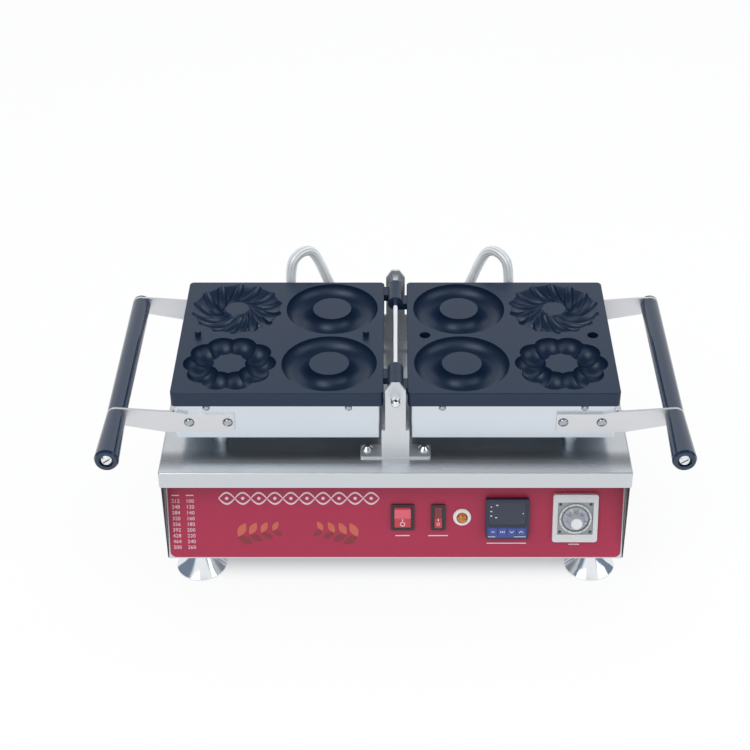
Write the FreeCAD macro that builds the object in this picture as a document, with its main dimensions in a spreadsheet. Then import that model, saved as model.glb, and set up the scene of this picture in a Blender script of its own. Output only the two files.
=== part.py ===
"""Donut maker: two cast baking plates that flip over on one hinge rod, above a box with its controls.

Millimetres, +X to the right, +Y to the back, +Z up. The origin lies on the floor, under the middle of
the outline that the rigid pieces have in plan.
"""

import FreeCAD, Part

import math
import os
import re

import Sketcher
from FreeCAD import Placement, Rotation, Vector

SIZES = {
    # Base box
    "base_width": 515,
    "base_depth": 280,
    "base_height": 122.5,
    "base_corner": 2.5,
    "lip_height": 20,
    "cover_sheet": 1.5,
    "cover_bend": 2,
    "wall_sheet": 1.5,
    "wall_fit": 0.2,
    "floor_sheet": 2,
    # Leaning front panel and its film
    "panel_lean": 15,
    "panel_sheet": 1.5,
    "panel_fit": 0.3,
    "panel_setback": 0.5,
    "film_sheet": 0.4,
    "film_margin": 1.5,
    "film_corner": 7,
    "control_row": 51.5,
    # Rocker switches
    "switch_height": 31,
    "switch_proud": 2.5,
    "switch_corner": 2,
    "switch_rim": 2,
    "switch_body_depth": 18,
    "switch_well_depth": 7,
    "power_place": 7.9,
    "power_width": 26,
    "alarm_place": 47.6,
    "alarm_width": 16,
    "rocker_radius": 12.5,
    "rocker_high": 18,
    "rocker_low": 20,
    "rocker_dish": 2.6,
    "rocker_tilt": 8,
    "rocker_inset": 3.9,
    "rocker_fit": 0.25,
    "trunnion_radius": 1.5,
    "trunnion_fit": 0.08,
    "trunnion_reach": 1.2,
    # Pilot lamp
    "lamp_place": 74.1,
    "lamp_bezel_radius": 10,
    "lamp_bezel_proud": 3.4,
    "lamp_lens_radius": 6.6,
    "lamp_lens_rise": 5,
    "lamp_barrel_radius": 6,
    "lamp_barrel_depth": 22,
    "lamp_floor": 1,
    # Temperature controller
    "controller_place": 124.1,
    "controller_width": 48,
    "controller_proud": 7,
    "controller_corner": 2,
    "controller_box_width": 44.6,
    "controller_depth": 70,
    "window_width": 41,
    "window_height": 27,
    "window_rise": 6.5,
    "window_recess": 1.2,
    "window_sheet": 0.8,
    "key_width": 9.4,
    "key_height": 9,
    "key_pitch": 10.4,
    "key_drop": 15,
    "key_proud": 0.9,
    "key_travel": 0.7,
    "key_body": 2.6,
    "key_fit": 0.15,
    # Timer
    "timer_place": 199.8,
    "timer_frame_width": 50,
    "timer_frame_height": 58,
    "timer_frame_proud": 5,
    "timer_frame_corner": 3,
    "timer_box_width": 39,
    "timer_fit": 0.2,
    "timer_depth": 62,
    "timer_face_sink": 1.5,
    "dial_ring_radius": 18,
    "dial_ring_wall": 2,
    "dial_ring_rise": 2.4,
    "knob_skirt_radius": 14.5,
    "knob_skirt_rise": 5,
    "knob_skirt_taper": 1,
    "knob_grip_radius": 10,
    "knob_cap_radius": 6.5,
    "knob_height": 15,
    "knob_gap": 0.3,
    "knob_flutes": 8,
    "knob_flute_radius": 3.2,
    "knob_shaft_radius": 3,
    "knob_shaft_fit": 0.08,
    "knob_shaft_reach": 8,
    # Levelling feet
    "foot_height": 43.5,
    "foot_radius": 28.5,
    "foot_rim": 2,
    "foot_waist_radius": 10.5,
    "foot_bell": 28,
    "foot_bell_curve": 90,
    "foot_collar_radius": 14,
    "foot_collar_height": 6,
    "foot_inset": 37,
    "foot_side_inset": 32,
    "stud_radius": 5,
    "stud_reach": 14,
    "stud_fit": 0.2,
    "jam_nut_radius": 9.8,
    "jam_nut_height": 6,
    # Hinge: brackets, rod and nuts
    "axis_rise": 86,
    "rod_radius": 3,
    "rod_fit": 0.08,
    "rod_grip": 12,
    "dome_grip": 7,
    "bracket_sheet": 3,
    "bracket_gap": 0.5,
    "bracket_foot_width": 77,
    "bracket_foot_reach": 22,
    "bracket_waist_width": 30,
    "bracket_waist_rise": 39,
    "bracket_neck_width": 22,
    "bracket_neck_rise": 5.3,
    "bracket_tip_width": 9,
    "bracket_tip_rise": 15,
    "bolt_radius": 3,
    "bolt_fit": 0.2,
    "bolt_head_radius": 6,
    "bolt_head_height": 4.5,
    "bolt_spread": 31,
    "bolt_setback": 14,
    "bolt_reach": 8,
    "nut_radius": 5.8,
    "nut_hex_height": 5,
    "dome_height": 14,
    "ear_radius": 8.5,
    "ear_length": 18,
    "ear_gap": 0.3,
    "ear_inset": 10,
    # Rest posts under the housings
    "post_place": 194,
    "post_row": 70,
    "post_radius": 6,
    "post_collar_radius": 9,
    "post_collar_height": 4,
    "post_gap": 0.3,
    # Baking plates and their cavities
    "plate_width": 228,
    "plate_depth": 222,
    "plate_thickness": 17,
    "plate_gap": 26,
    "plate_corner": 5,
    "plate_edge": 1,
    "face_gap": 0.3,
    "core_depth": 9,
    "core_fit": 0.5,
    "cavity_pitch": 109,
    "ring_mid_radius": 37,
    "ring_tube_radius": 15.2,
    "flower_mid_radius": 34,
    "flower_lobe_radius": 17,
    "flower_lobes": 10,
    "swirl_mid_radius": 31.2,
    "swirl_trough_radius": 25,
    "swirl_trough_rise": 17.3,
    "swirl_arc_radius": 23,
    "swirl_flute_radius": 6,
    "swirl_rise": 17.2,
    "swirl_angle": 35,
    "swirl_flutes": 14,
    "pin_spread": 94,
    "pin_radius": 3.5,
    "pin_height": 6,
    "pin_hole_radius": 6.2,
    "pin_hole_depth": 8,
    "pin_fit": 0.1,
    # Heater housings and what they hold
    "housing_inset": 3,
    "housing_height": 44,
    "housing_sheet": 1.5,
    "housing_bend": 3,
    "heater_radius": 4,
    "heater_gap": 0.1,
    "heater_legs": 4,
    "heater_pitch": 44,
    "heater_length": 170,
    "insulation_fit": 0.5,
    "probe_radius": 2.5,
    "probe_length": 60,
    # Handles
    "arm_sheet": 3,
    "arm_overlap": 67,
    "arm_height": 23.5,
    "arm_drop": 28,
    "arm_step": 3.5,
    "arm_step_start": 17.5,
    "arm_step_run": 16,
    "arm_knee": 9,
    "handle_reach": 59.5,
    "handle_drop": 31,
    "arm_screw_drop": 38.8,
    "arm_screw_outer": 18.5,
    "arm_screw_pitch": 41.5,
    "screw_radius": 2.5,
    "screw_fit": 0.1,
    "screw_head_radius": 5,
    "screw_head_height": 2.8,
    "screw_head_taper": 0.6,
    "lid_screw_reach": 8,
    "lid_screw_spread": 76.5,
    "lid_screw_gap": 0.3,
    "lid_screw_head_radius": 3.6,
    "grip_radius": 10.5,
    "grip_flare_radius": 13,
    "grip_front_reach": 48.5,
    "grip_back_reach": 4,
    "grip_edge": 3,
    "grip_cap_edge": 2,
    "grip_well_depth": 3,
    "handle_rod_radius": 4,
    "handle_rod_fit": 0.1,
    "handle_head_radius": 6.5,
    "handle_head_height": 2.8,
    "handle_head_taper": 0.7,
    "handle_head_room": 1,
    # Hoses and glands
    "hose_radius": 6,
    "hose_place": 124,
    "hose_base_place": 60,
    "hose_base_drop": 72,
    "hose_skew": 10,
    "elbow_radius": 8.5,
    "elbow_reach": 18,
    "elbow_rise": 17,
    "elbow_drop": 41,
    "gland_reach": 18,
    "gland_radius": 9,
    "gland_nut_radius": 12,
    "gland_nut_height": 6,
    "gland_step": 1,
    "mains_place": 170,
    "mains_drop": 80,
    "mains_bore_radius": 4,
    # Electrical parts inside the base
    "relay_width": 60,
    "relay_depth": 45,
    "relay_height": 28,
    "relay_place": 60,
    "terminal_width": 90,
    "terminal_depth": 22,
    "terminal_height": 18,
    "terminal_place": 130,
    "terminal_bays": 6,
    "buzzer_radius": 15,
    "buzzer_height": 12,
    "buzzer_place": 200,
    "inside_row": 60,
}

# Places that many pieces share
MID = "((grip_front_reach - gland_reach) / 2)"
FRONT = f"({MID} - base_depth / 2)"
BASE_TOP = "(foot_height + base_height)"
AXIS = f"({BASE_TOP} + axis_rise)"
PLATE_TOP = f"({AXIS} - face_gap)"
PLATE_FOOT = f"({PLATE_TOP} - plate_thickness)"
CORE_FOOT = f"({PLATE_FOOT} - core_depth)"
HOUSING_FOOT = f"({PLATE_FOOT} - housing_height)"
PLATE_MID = "(plate_gap / 2 + plate_width / 2)"
PLATE_OUTER = "(plate_gap / 2 + plate_width)"
HOUSING_HALF_WIDTH = "(plate_width / 2 - housing_inset)"
HOUSING_HALF_DEPTH = "(plate_depth / 2 - housing_inset)"
HANDLE_X = f"({PLATE_OUTER} + handle_reach)"
HANDLE_Z = f"({AXIS} - handle_drop)"
BRACKET_FACE = "(plate_depth / 2 + bracket_gap)"
WALL_HALF_WIDTH = "(base_width / 2 - cover_sheet - wall_fit)"
WALL_HALF_DEPTH = "(base_depth / 2 - cover_sheet - wall_fit)"
ROOM_HALF_WIDTH = f"({WALL_HALF_WIDTH} - wall_sheet)"
PANEL_LENGTH = "((base_height - cover_sheet - panel_fit) / cos(panel_lean))"
FLOOR_TOP = "(foot_height + floor_sheet)"

# Ends of the hoses: the right one lies a little farther out than the left one
HOSE_X = {"left": "(-hose_place)", "right": "(hose_place + hose_skew)"}
HOSE_BASE_X = {"left": "(-hose_base_place)", "right": "(hose_base_place + hose_skew)"}

# The left hose, from the elbow on its housing to the gland on the base's back wall. X from the hinge
# rod, Y from the middle of the base, Z from the top of the base.
HOSE_ROUTE = [
    (-124, 126, 62.3),
    (-124, 126, 98),
    (-115.3, 133.8, 110),
    (-102.9, 144.9, 110),
    (-94, 153, 97),
    (-82, 172, 50),
    (-74, 188, 14),
    (-66, 197, -24),
    (-61, 197, -54),
    (-60, 179.4, -72),
    (-60, 158.2, -72),
]

# How much of the shorter run a hose's arc may take at a corner
RUN_SHARE = 0.45

doc = FreeCAD.newDocument("donut_maker")
sheet = doc.addObject("Spreadsheet::Sheet", "Sizes")
for row, (alias, size) in enumerate(SIZES.items(), start=1):
    sheet.set(f"A{row}", alias)
    sheet.set(f"B{row}", str(size))
    sheet.setAlias(f"B{row}", alias)
doc.recompute()

nodes = {}


def formula(words):
    """A formula on the size names, written the way the sheet's readers need it."""
    return re.sub(r"[a-z][a-z_]*[a-z]", lambda m: f"Sizes.{m[0]}" if m[0] in SIZES else m[0], str(words))


def value(words):
    """The number that a formula on the size names gives now."""
    return float(sheet.evalExpression(formula(words)))


def bind(thing, **formulas):
    """Ties properties of a thing to formulas."""
    for name, words in formulas.items():
        thing.setExpression(name, formula(words))
    return thing


def place(thing, x=0, y=0, z=0, axis=None, angle=0):
    """Puts a thing at a point, turned about an axis by an angle."""
    thing.Placement = Placement(Vector(), Rotation(axis or Vector(0, 0, 1), value(angle)))
    for letter, words in zip("xyz", (x, y, z)):
        thing.setExpression(f"Placement.Base.{letter}", formula(words))
    if axis:
        thing.setExpression("Placement.Rotation.Angle", formula(angle))
    return thing


def on_panel(thing, across, up, out="film_sheet"):
    """Puts a thing that was drawn flat on the leaning front panel: across, up the slope and out of it."""
    back = f"{FRONT} + panel_setback + ({up}) * sin(panel_lean) - ({out}) * cos(panel_lean)"
    rise = f"foot_height + ({up}) * cos(panel_lean) + ({out}) * sin(panel_lean)"
    return place(thing, across, back, rise, Vector(1, 0, 0), "90 - panel_lean")


def node(name, thing):
    """Makes a thing a piece of the part under that name."""
    thing.Label = name
    nodes[name] = thing
    return thing


# Solids, booleans and groups


def rod(name, radius, length, x=0, y=0, z=0, axis=None, angle=0):
    tube = bind(doc.addObject("Part::Cylinder", name), Radius=radius, Height=length)
    return place(tube, x, y, z, axis, angle)


def cut(name, base, *tools):
    result = doc.addObject("Part::Cut", name)
    result.Base = base
    result.Tool = tools[0] if len(tools) == 1 else group(f"{name}_tools", tools)
    return result


def fuse(name, *shapes):
    result = doc.addObject("Part::MultiFuse", name)
    result.Shapes = list(shapes)
    return result


def group(name, shapes):
    result = doc.addObject("Part::Compound", name)
    result.Links = list(shapes)
    return result


def mirrored(name, source, across):
    """The mirror image across the middle plane of X or Y."""
    image = doc.addObject("Part::Mirroring", name)
    image.Source = source
    image.Normal = Vector(1, 0, 0) if across == "X" else Vector(0, 1, 0)
    if across == "Y":
        image.setExpression("Base.y", formula(MID))
    return image


# Sketches and the features on them


def circle(x, y, radius):
    return {"circle": (x, y, radius)}


def rectangle(x, y, half_width, half_height, corner=None):
    """A rectangle about its centre, with round corners where a corner radius is given."""
    left, right = f"({x}) - ({half_width})", f"({x}) + ({half_width})"
    low, high = f"({y}) - ({half_height})", f"({y}) + ({half_height})"
    if not corner:
        return [(left, low), (right, low), (right, high), (left, high)]
    turn = (corner, 1)
    return [
        (f"{left} + {corner}", low), (f"{right} - {corner}", low, turn),
        (right, f"{low} + {corner}"), (right, f"{high} - {corner}", turn),
        (f"{right} - {corner}", high), (f"{left} + {corner}", high, turn),
        (left, f"{high} - {corner}"), (left, f"{low} + {corner}", turn),
    ]


def new_body(name):
    return doc.addObject("PartDesign::Body", name)


def origin_plane(body, role):
    return next(f for f in body.Origin.OriginFeatures if f.Role == role)


def arc_through(start, end, radius, turn, wide):
    """The arc from start to end, counterclockwise for turn 1, wider than a half circle if wide."""
    chord = end - start
    side = Vector(-chord.y, chord.x, 0).normalize() * turn
    lift = math.sqrt(max(radius**2 - (chord.Length / 2) ** 2, 0)) * (-1 if wide else 1)
    centre = (start + end) / 2 + side * lift
    first, last = (start, end) if turn > 0 else (end, start)
    angles = [math.atan2(point.y - centre.y, point.x - centre.x) for point in (first, last)]
    return Part.ArcOfCircle(Part.Circle(centre, Vector(0, 0, 1), radius), *angles)


def sketch(body, plane, loops, depth=0, across=0, up=0):
    """A sketch on an origin plane, moved along its normal by depth, with every point tied to a formula.

    A loop is a circle or a list of points. A point (x, y, (radius, turn)) starts an arc instead of a line,
    counterclockwise for turn 1 and clockwise for -1, and (radius, turn, "wide") takes the longer way round.
    """
    drawing = body.newObject("Sketcher::SketchObject", f"{body.Name}_sketch")
    drawing.AttachmentSupport = [(origin_plane(body, plane), "")]
    drawing.MapMode = "FlatFace"
    for letter, words in zip("xyz", (across, up, depth)):
        drawing.setExpression(f"AttachmentOffset.Base.{letter}", formula(words))
    for loop in loops:
        if isinstance(loop, dict):
            draw_circle(drawing, *loop["circle"])
        else:
            draw_outline(drawing, loop)
    return drawing


def tie(drawing, kind, words, *where):
    """A dimension in a sketch that follows a formula."""
    if kind in ("DistanceX", "DistanceY") and abs(value(words)) < 1e-9:
        axis = -2 if kind == "DistanceX" else -1
        drawing.addConstraint(Sketcher.Constraint("PointOnObject", *where, axis))
        return
    if kind in ("DistanceX", "DistanceY"):
        where = (-1, 1) + where
    index = drawing.addConstraint(Sketcher.Constraint(kind, *where, value(words)))
    drawing.setExpression(f"Constraints[{index}]", formula(words))


def draw_circle(drawing, x, y, radius):
    ring = Part.Circle(Vector(value(x), value(y), 0), Vector(0, 0, 1), value(radius))
    index = drawing.addGeometry(ring, False)
    tie(drawing, "Radius", radius, index)
    tie(drawing, "DistanceX", x, index, 3)
    tie(drawing, "DistanceY", y, index, 3)


def draw_outline(drawing, points):
    corners = [Vector(value(p[0]), value(p[1]), 0) for p in points]
    ends = []
    for k, point in enumerate(points):
        start, end = corners[k], corners[(k + 1) % len(points)]
        if len(point) == 2:
            index = drawing.addGeometry(Part.LineSegment(start, end), False)
            ends.append((index, 1, 2))
            continue
        radius, turn = point[2][:2]
        arc = arc_through(start, end, value(radius), turn, len(point[2]) > 2)
        index = drawing.addGeometry(arc, False)
        ends.append((index, 1, 2) if turn > 0 else (index, 2, 1))
    for k, (index, first, last) in enumerate(ends):
        following = ends[(k + 1) % len(ends)]
        drawing.addConstraint(Sketcher.Constraint("Coincident", index, last, following[0], following[1]))
    for (index, first, last), point in zip(ends, points):
        tie(drawing, "DistanceX", point[0], index, first)
        tie(drawing, "DistanceY", point[1], index, first)
        if len(point) > 2:
            tie(drawing, "Radius", point[2][0], index)


def pad(body, drawing, length):
    feature = body.newObject("PartDesign::Pad", f"{body.Name}_pad")
    feature.Profile = drawing
    return bind(feature, Length=length)


def pocket(body, drawing, length, upward=False):
    feature = body.newObject("PartDesign::Pocket", f"{body.Name}_pocket")
    feature.Profile = drawing
    feature.Reversed = upward
    return bind(feature, Length=length)


def revolved(name, outline):
    """A turned piece: the outline is radius and height, and the axis is Z."""
    body = new_body(name)
    feature = body.newObject("PartDesign::Revolution", f"{name}_turning")
    feature.Profile = sketch(body, "XZ_Plane", [outline])
    feature.ReferenceAxis = (feature.Profile[0], ["V_Axis"])
    feature.Angle = 360
    return body


def rounded(body, radius, wanted):
    """Rounds the edges of a body that are wanted."""
    doc.recompute()
    tip = body.Tip
    names = [f"Edge{k}" for k, edge in enumerate(tip.Shape.Edges, start=1) if wanted(edge)]
    feature = body.newObject("PartDesign::Fillet", f"{body.Name}_rounding")
    feature.Base = (tip, names)
    return bind(feature, Radius=radius)


def patterned(body, feature, centre, count):
    """Repeats a feature round the normal of a sketch."""
    pattern = body.newObject("PartDesign::PolarPattern", f"{feature.Name}_pattern")
    pattern.Originals = [feature]
    pattern.Axis = (centre, ["N_Axis"])
    pattern.Angle = 360
    bind(pattern, Occurrences=count)
    body.Tip = pattern
    return pattern


def hexagon(name, radius, height, x=0, y=0, z=0, axis=None, angle=0):
    prism = bind(doc.addObject("Part::Prism", name), Circumradius=radius, Height=height)
    prism.Polygon = 6
    return place(prism, x, y, z, axis, angle)


def at_height(height):
    """A test for edges that lie flat at a height."""
    level = value(height)
    return lambda edge: abs(edge.BoundBox.ZMin - level) < 1e-4 and abs(edge.BoundBox.ZMax - level) < 1e-4


# Base box


def bolt_holes(x_spread, row, radius):
    return [circle(f"{side} * {x_spread}", f"{MID} + ({end}) * ({row})", radius)
            for side in (-1, 1) for end in (-1, 1)]


BOLT_ROW = f"({BRACKET_FACE} + bracket_sheet - bolt_setback)"
FOOT_X = f"({WALL_HALF_WIDTH} - foot_side_inset)"
FOOT_Y = f"({WALL_HALF_DEPTH} - foot_inset)"


def top_cover():
    """A folded tray with a lip that turns down on all four sides."""
    body = new_body("top_cover")
    outline = rectangle(0, MID, "base_width / 2", "base_depth / 2", "base_corner")
    pad(body, sketch(body, "XY_Plane", [outline], f"{BASE_TOP} - lip_height"), "lip_height")
    rounded(body, "cover_bend", at_height(BASE_TOP))
    inside = rectangle(0, MID, "base_width / 2 - cover_sheet", "base_depth / 2 - cover_sheet")
    hollow = sketch(body, "XY_Plane", [inside], f"{BASE_TOP} - lip_height")
    pocket(body, hollow, "lip_height - cover_sheet", upward=True)
    holes = bolt_holes("bolt_spread", BOLT_ROW, "bolt_radius + bolt_fit")
    pocket(body, sketch(body, "XY_Plane", holes, f"{BASE_TOP} + cover_sheet"), "3 * cover_sheet")
    node("top_cover", body)


def chassis():
    """Side and back walls, folded from one strip and open at the front."""
    body = new_body("chassis")
    side, front, back = WALL_HALF_WIDTH, f"{MID} - {WALL_HALF_DEPTH}", f"{MID} + {WALL_HALF_DEPTH}"
    inner, inner_back = ROOM_HALF_WIDTH, f"{back} - wall_sheet"
    strip = [
        (f"-{side}", front), (f"-{inner}", front), (f"-{inner}", inner_back), (inner, inner_back),
        (inner, front), (side, front), (side, back), (f"-{side}", back),
    ]
    pad(body, sketch(body, "XY_Plane", [strip], "foot_height"), "base_height - cover_sheet")
    holes = [circle(HOSE_BASE_X[side], f"{BASE_TOP} - hose_base_drop", "gland_radius + bolt_fit")
             for side in ("left", "right")]
    holes.append(circle("mains_place", f"{BASE_TOP} - mains_drop", "gland_radius + bolt_fit"))
    pocket(body, sketch(body, "XZ_Plane", holes, f"-({inner_back} - wall_sheet)"), "3 * wall_sheet")
    node("chassis", body)


def floor_plate():
    body = new_body("floor_plate")
    front = f"({FRONT} + panel_setback + 2 * panel_sheet)"
    back = f"({MID} + {WALL_HALF_DEPTH} - wall_sheet - wall_fit)"
    half_width, half_depth = f"{ROOM_HALF_WIDTH} - wall_fit", f"({back} - {front}) / 2"
    outline = rectangle(0, f"({front} + {back}) / 2", half_width, half_depth)
    holes = bolt_holes(FOOT_X, FOOT_Y, "stud_radius + stud_fit")
    pad(body, sketch(body, "XY_Plane", [outline] + holes, "foot_height"), "floor_sheet")
    node("floor_plate", body)


def panel_cutouts(grow):
    """Openings for the switches, lamp, controller and timer, in the panel's own plane."""
    row = "control_row"
    rim = f"(switch_rim - {grow})"
    return [
        rectangle("power_place", row, f"power_width / 2 - {rim}", f"switch_height / 2 - {rim}"),
        rectangle("alarm_place", row, f"alarm_width / 2 - {rim}", f"switch_height / 2 - {rim}"),
        circle("lamp_place", row, f"lamp_barrel_radius + {grow}"),
        rectangle("controller_place", row, *[f"controller_box_width / 2 + {grow}"] * 2),
        rectangle("timer_place", row, *[f"timer_box_width / 2 + {grow}"] * 2),
    ]


def front_panel():
    """A steel panel between the side walls whose top leans back under the lip, with a coloured film on it."""
    half_width = f"{ROOM_HALF_WIDTH} - panel_fit"
    body = new_body("front_panel")
    outline = rectangle(0, f"{PANEL_LENGTH} / 2", half_width, f"{PANEL_LENGTH} / 2")
    loops = [outline] + panel_cutouts("panel_fit")
    pad(body, sketch(body, "XY_Plane", loops, "-panel_sheet"), "panel_sheet")
    node("front_panel", on_panel(body, 0, 0, 0))
    film = new_body("panel_film")
    outline = rectangle(0, f"{PANEL_LENGTH} / 2", f"{half_width} - film_margin",
                        f"{PANEL_LENGTH} / 2 - film_margin", "film_corner")
    pad(film, sketch(film, "XY_Plane", [outline] + panel_cutouts("panel_fit")), "film_sheet")
    node("panel_film", on_panel(film, 0, 0, 0))


# Controls on the front panel


def rocker_switch(name, width, across, tilt):
    """A switch body with a well, and the rocker on trunnions in it. Tilt 1 brings the rocker's top out."""
    rocker_half = f"({width} / 2 - rocker_inset)"
    body = new_body(f"{name}_switch")
    bezel = rectangle(0, 0, f"{width} / 2", "switch_height / 2", "switch_corner")
    pad(body, sketch(body, "XY_Plane", [bezel]), "switch_proud")
    barrel = rectangle(0, 0, f"{width} / 2 - switch_rim", "switch_height / 2 - switch_rim")
    pad(body, sketch(body, "XY_Plane", [barrel], "-switch_body_depth"), "switch_body_depth")
    well = rectangle(0, 0, f"{rocker_half} + rocker_fit", "rocker_radius + rocker_fit")
    pocket(body, sketch(body, "XY_Plane", [well], "switch_proud"), "switch_proud + switch_well_depth")
    bearing = f"{rocker_half} + trunnion_reach + trunnion_fit"
    hole = sketch(body, "YZ_Plane", [circle(0, 0, "trunnion_radius + trunnion_fit")], bearing)
    pocket(body, hole, f"2 * ({bearing})")
    node(f"{name}_switch", on_panel(body, across, "control_row"))

    rocker = new_body(f"{name}_rocker")
    end_x, end_z = "rocker_radius * cos(rocker_high)", "rocker_radius * sin(rocker_high)"
    foot_x, foot_z = "rocker_radius * cos(rocker_low)", "-rocker_radius * sin(rocker_low)"
    profile = [
        (f"-{foot_x}", foot_z), (foot_x, foot_z, ("rocker_radius", 1)), (end_x, end_z), (0, "rocker_dish"),
        (f"-{end_x}", end_z, ("rocker_radius", 1)),
    ]
    pad(rocker, sketch(rocker, "YZ_Plane", [profile], f"-{rocker_half}"), f"2 * {rocker_half}")
    pivot = f"{rocker_half} + trunnion_reach"
    trunnion = sketch(rocker, "YZ_Plane", [circle(0, 0, "trunnion_radius")], f"-({pivot})")
    pad(rocker, trunnion, f"2 * ({pivot})")
    on_panel(rocker, across, "control_row")
    rocker.setExpression("Placement.Rotation.Angle", formula(f"90 - panel_lean + {tilt} * rocker_tilt"))
    node(f"{name}_rocker", rocker)


def pilot_lamp():
    bezel = revolved("lamp_bezel", [
        (0, "-lamp_barrel_depth"), ("lamp_barrel_radius", "-lamp_barrel_depth"), ("lamp_barrel_radius", 0),
        ("lamp_bezel_radius", 0), ("lamp_bezel_radius", "lamp_bezel_proud / 2"),
        ("(lamp_bezel_radius + lamp_lens_radius) / 2", "lamp_bezel_proud"),
        ("lamp_lens_radius", "lamp_bezel_proud"), ("lamp_lens_radius", "lamp_floor"), (0, "lamp_floor"),
    ])
    node("lamp_bezel", on_panel(bezel, "lamp_place", "control_row"))
    sphere = "(lamp_lens_radius * lamp_lens_radius / lamp_lens_rise + lamp_lens_rise) / 2"
    lens = revolved("lamp_lens", [
        (0, "lamp_floor"), ("lamp_lens_radius", "lamp_floor"),
        ("lamp_lens_radius", "lamp_bezel_proud", (sphere, 1)), (0, "lamp_bezel_proud + lamp_lens_rise"),
    ])
    node("lamp_lens", on_panel(lens, "lamp_place", "control_row"))


KEY_STEPS = (-1.5, -0.5, 0.5, 1.5)


def temperature_controller():
    """A square case with a sunk window and a row of four keys under it."""
    case = new_body("controller_case")
    half = "controller_width / 2"
    bezel = rectangle(0, 0, half, half, "controller_corner")
    pad(case, sketch(case, "XY_Plane", [bezel]), "controller_proud")
    barrel = rectangle(0, 0, *["controller_box_width / 2"] * 2)
    pad(case, sketch(case, "XY_Plane", [barrel], "-controller_depth"), "controller_depth")
    recess = rectangle(0, "window_rise", "window_width / 2", "window_height / 2")
    pocket(case, sketch(case, "XY_Plane", [recess], "controller_proud"), "window_recess")
    well = "key_width / 2 + key_fit", "key_height / 2 + key_fit"
    wells = [rectangle(f"{step} * key_pitch", "-key_drop", *well) for step in KEY_STEPS]
    pocket(case, sketch(case, "XY_Plane", wells, "controller_proud"), "key_body + key_travel + key_fit")
    node("controller_case", on_panel(case, "controller_place", "control_row"))
    window = new_body("controller_window")
    glass = rectangle(0, "window_rise", "window_width / 2 - key_fit", "window_height / 2 - key_fit")
    pad(window, sketch(window, "XY_Plane", [glass], "controller_proud - window_recess"), "window_sheet")
    node("controller_window", on_panel(window, "controller_place", "control_row"))
    for count, step in enumerate(KEY_STEPS, start=1):
        key = new_body(f"controller_key_{count}")
        cap = rectangle(f"{step} * key_pitch", "-key_drop", "key_width / 2", "key_height / 2")
        pad(key, sketch(key, "XY_Plane", [cap], "controller_proud - key_body"), "key_body + key_proud")
        node(f"controller_key_{count}", on_panel(key, "controller_place", "control_row"))


def timer():
    """A square timer in a flanged frame, with a fluted knob inside a raised dial ring."""
    frame = new_body("timer_frame")
    flange = rectangle(0, 0, "timer_frame_width / 2", "timer_frame_height / 2", "timer_frame_corner")
    opening = rectangle(0, 0, *["timer_box_width / 2 + timer_fit"] * 2)
    pad(frame, sketch(frame, "XY_Plane", [flange, opening]), "timer_frame_proud")
    node("timer_frame", on_panel(frame, "timer_place", "control_row"))

    face = "(timer_frame_proud - timer_face_sink)"
    body = new_body("timer_body")
    pad(body, sketch(body, "XY_Plane", [rectangle(0, 0, *["timer_box_width / 2"] * 2)], "-timer_depth"),
        f"timer_depth + {face}")
    ring = [circle(0, 0, "dial_ring_radius"), circle(0, 0, "dial_ring_radius - dial_ring_wall")]
    pad(body, sketch(body, "XY_Plane", ring, face), "dial_ring_rise")
    bore = sketch(body, "XY_Plane", [circle(0, 0, "knob_shaft_radius + knob_shaft_fit")], face)
    pocket(body, bore, "knob_shaft_reach + knob_gap")
    node("timer_body", on_panel(body, "timer_place", "control_row"))

    foot = f"({face} + knob_gap)"
    knob = revolved("timer_knob", [
        (0, f"{face} - knob_shaft_reach"), ("knob_shaft_radius", f"{face} - knob_shaft_reach"),
        ("knob_shaft_radius", foot), ("knob_skirt_radius", foot),
        ("knob_skirt_radius - knob_skirt_taper", f"{foot} + knob_skirt_rise / 2"),
        ("knob_grip_radius", f"{foot} + knob_skirt_rise"), ("knob_cap_radius", f"{foot} + knob_height"),
        (0, f"{foot} + knob_height"),
    ])
    flute_at = "knob_grip_radius + knob_flute_radius / 2"
    flute = pocket(knob, sketch(knob, "XY_Plane", [circle(flute_at, 0, "knob_flute_radius")],
                                f"{foot} + knob_skirt_rise / 2"), "knob_height", upward=True)
    patterned(knob, flute, flute.Profile[0], "knob_flutes")
    node("timer_knob", on_panel(knob, "timer_place", "control_row"))


# Feet, brackets and hinge


def four_of(name, first):
    """A piece and its images across both middle planes, as one group."""
    pair = [first, mirrored(f"{name}_across", first, "X")]
    return group(name, pair + [mirrored(f"{name}_back_{k}", piece, "Y") for k, piece in enumerate(pair)])


def feet():
    """Bell feet on studs, each with a jam nut on the floor plate."""
    bell = revolved("foot", [
        (0, 0), ("foot_radius", 0), ("foot_radius", "foot_rim", ("foot_bell_curve", -1)),
        ("foot_waist_radius", "foot_bell"), ("foot_waist_radius", "foot_height - foot_collar_height"),
        ("foot_collar_radius", "foot_height - foot_collar_height"), ("foot_collar_radius", "foot_height"),
        ("stud_radius", "foot_height"),
        ("stud_radius", "foot_height + stud_reach"), (0, "foot_height + stud_reach"),
    ])
    place(bell, FOOT_X, f"{MID} - {FOOT_Y}", 0)
    node("feet", four_of("feet", bell))
    bore = rod("jam_nut_bore", "stud_radius + stud_fit", "3 * jam_nut_height", z="-jam_nut_height")
    nut = place(cut("jam_nut", hexagon("jam_nut_hex", "jam_nut_radius", "jam_nut_height"), bore),
                FOOT_X, f"{MID} - {FOOT_Y}", FLOOR_TOP)
    node("foot_nuts", four_of("foot_nuts", nut))


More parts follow.
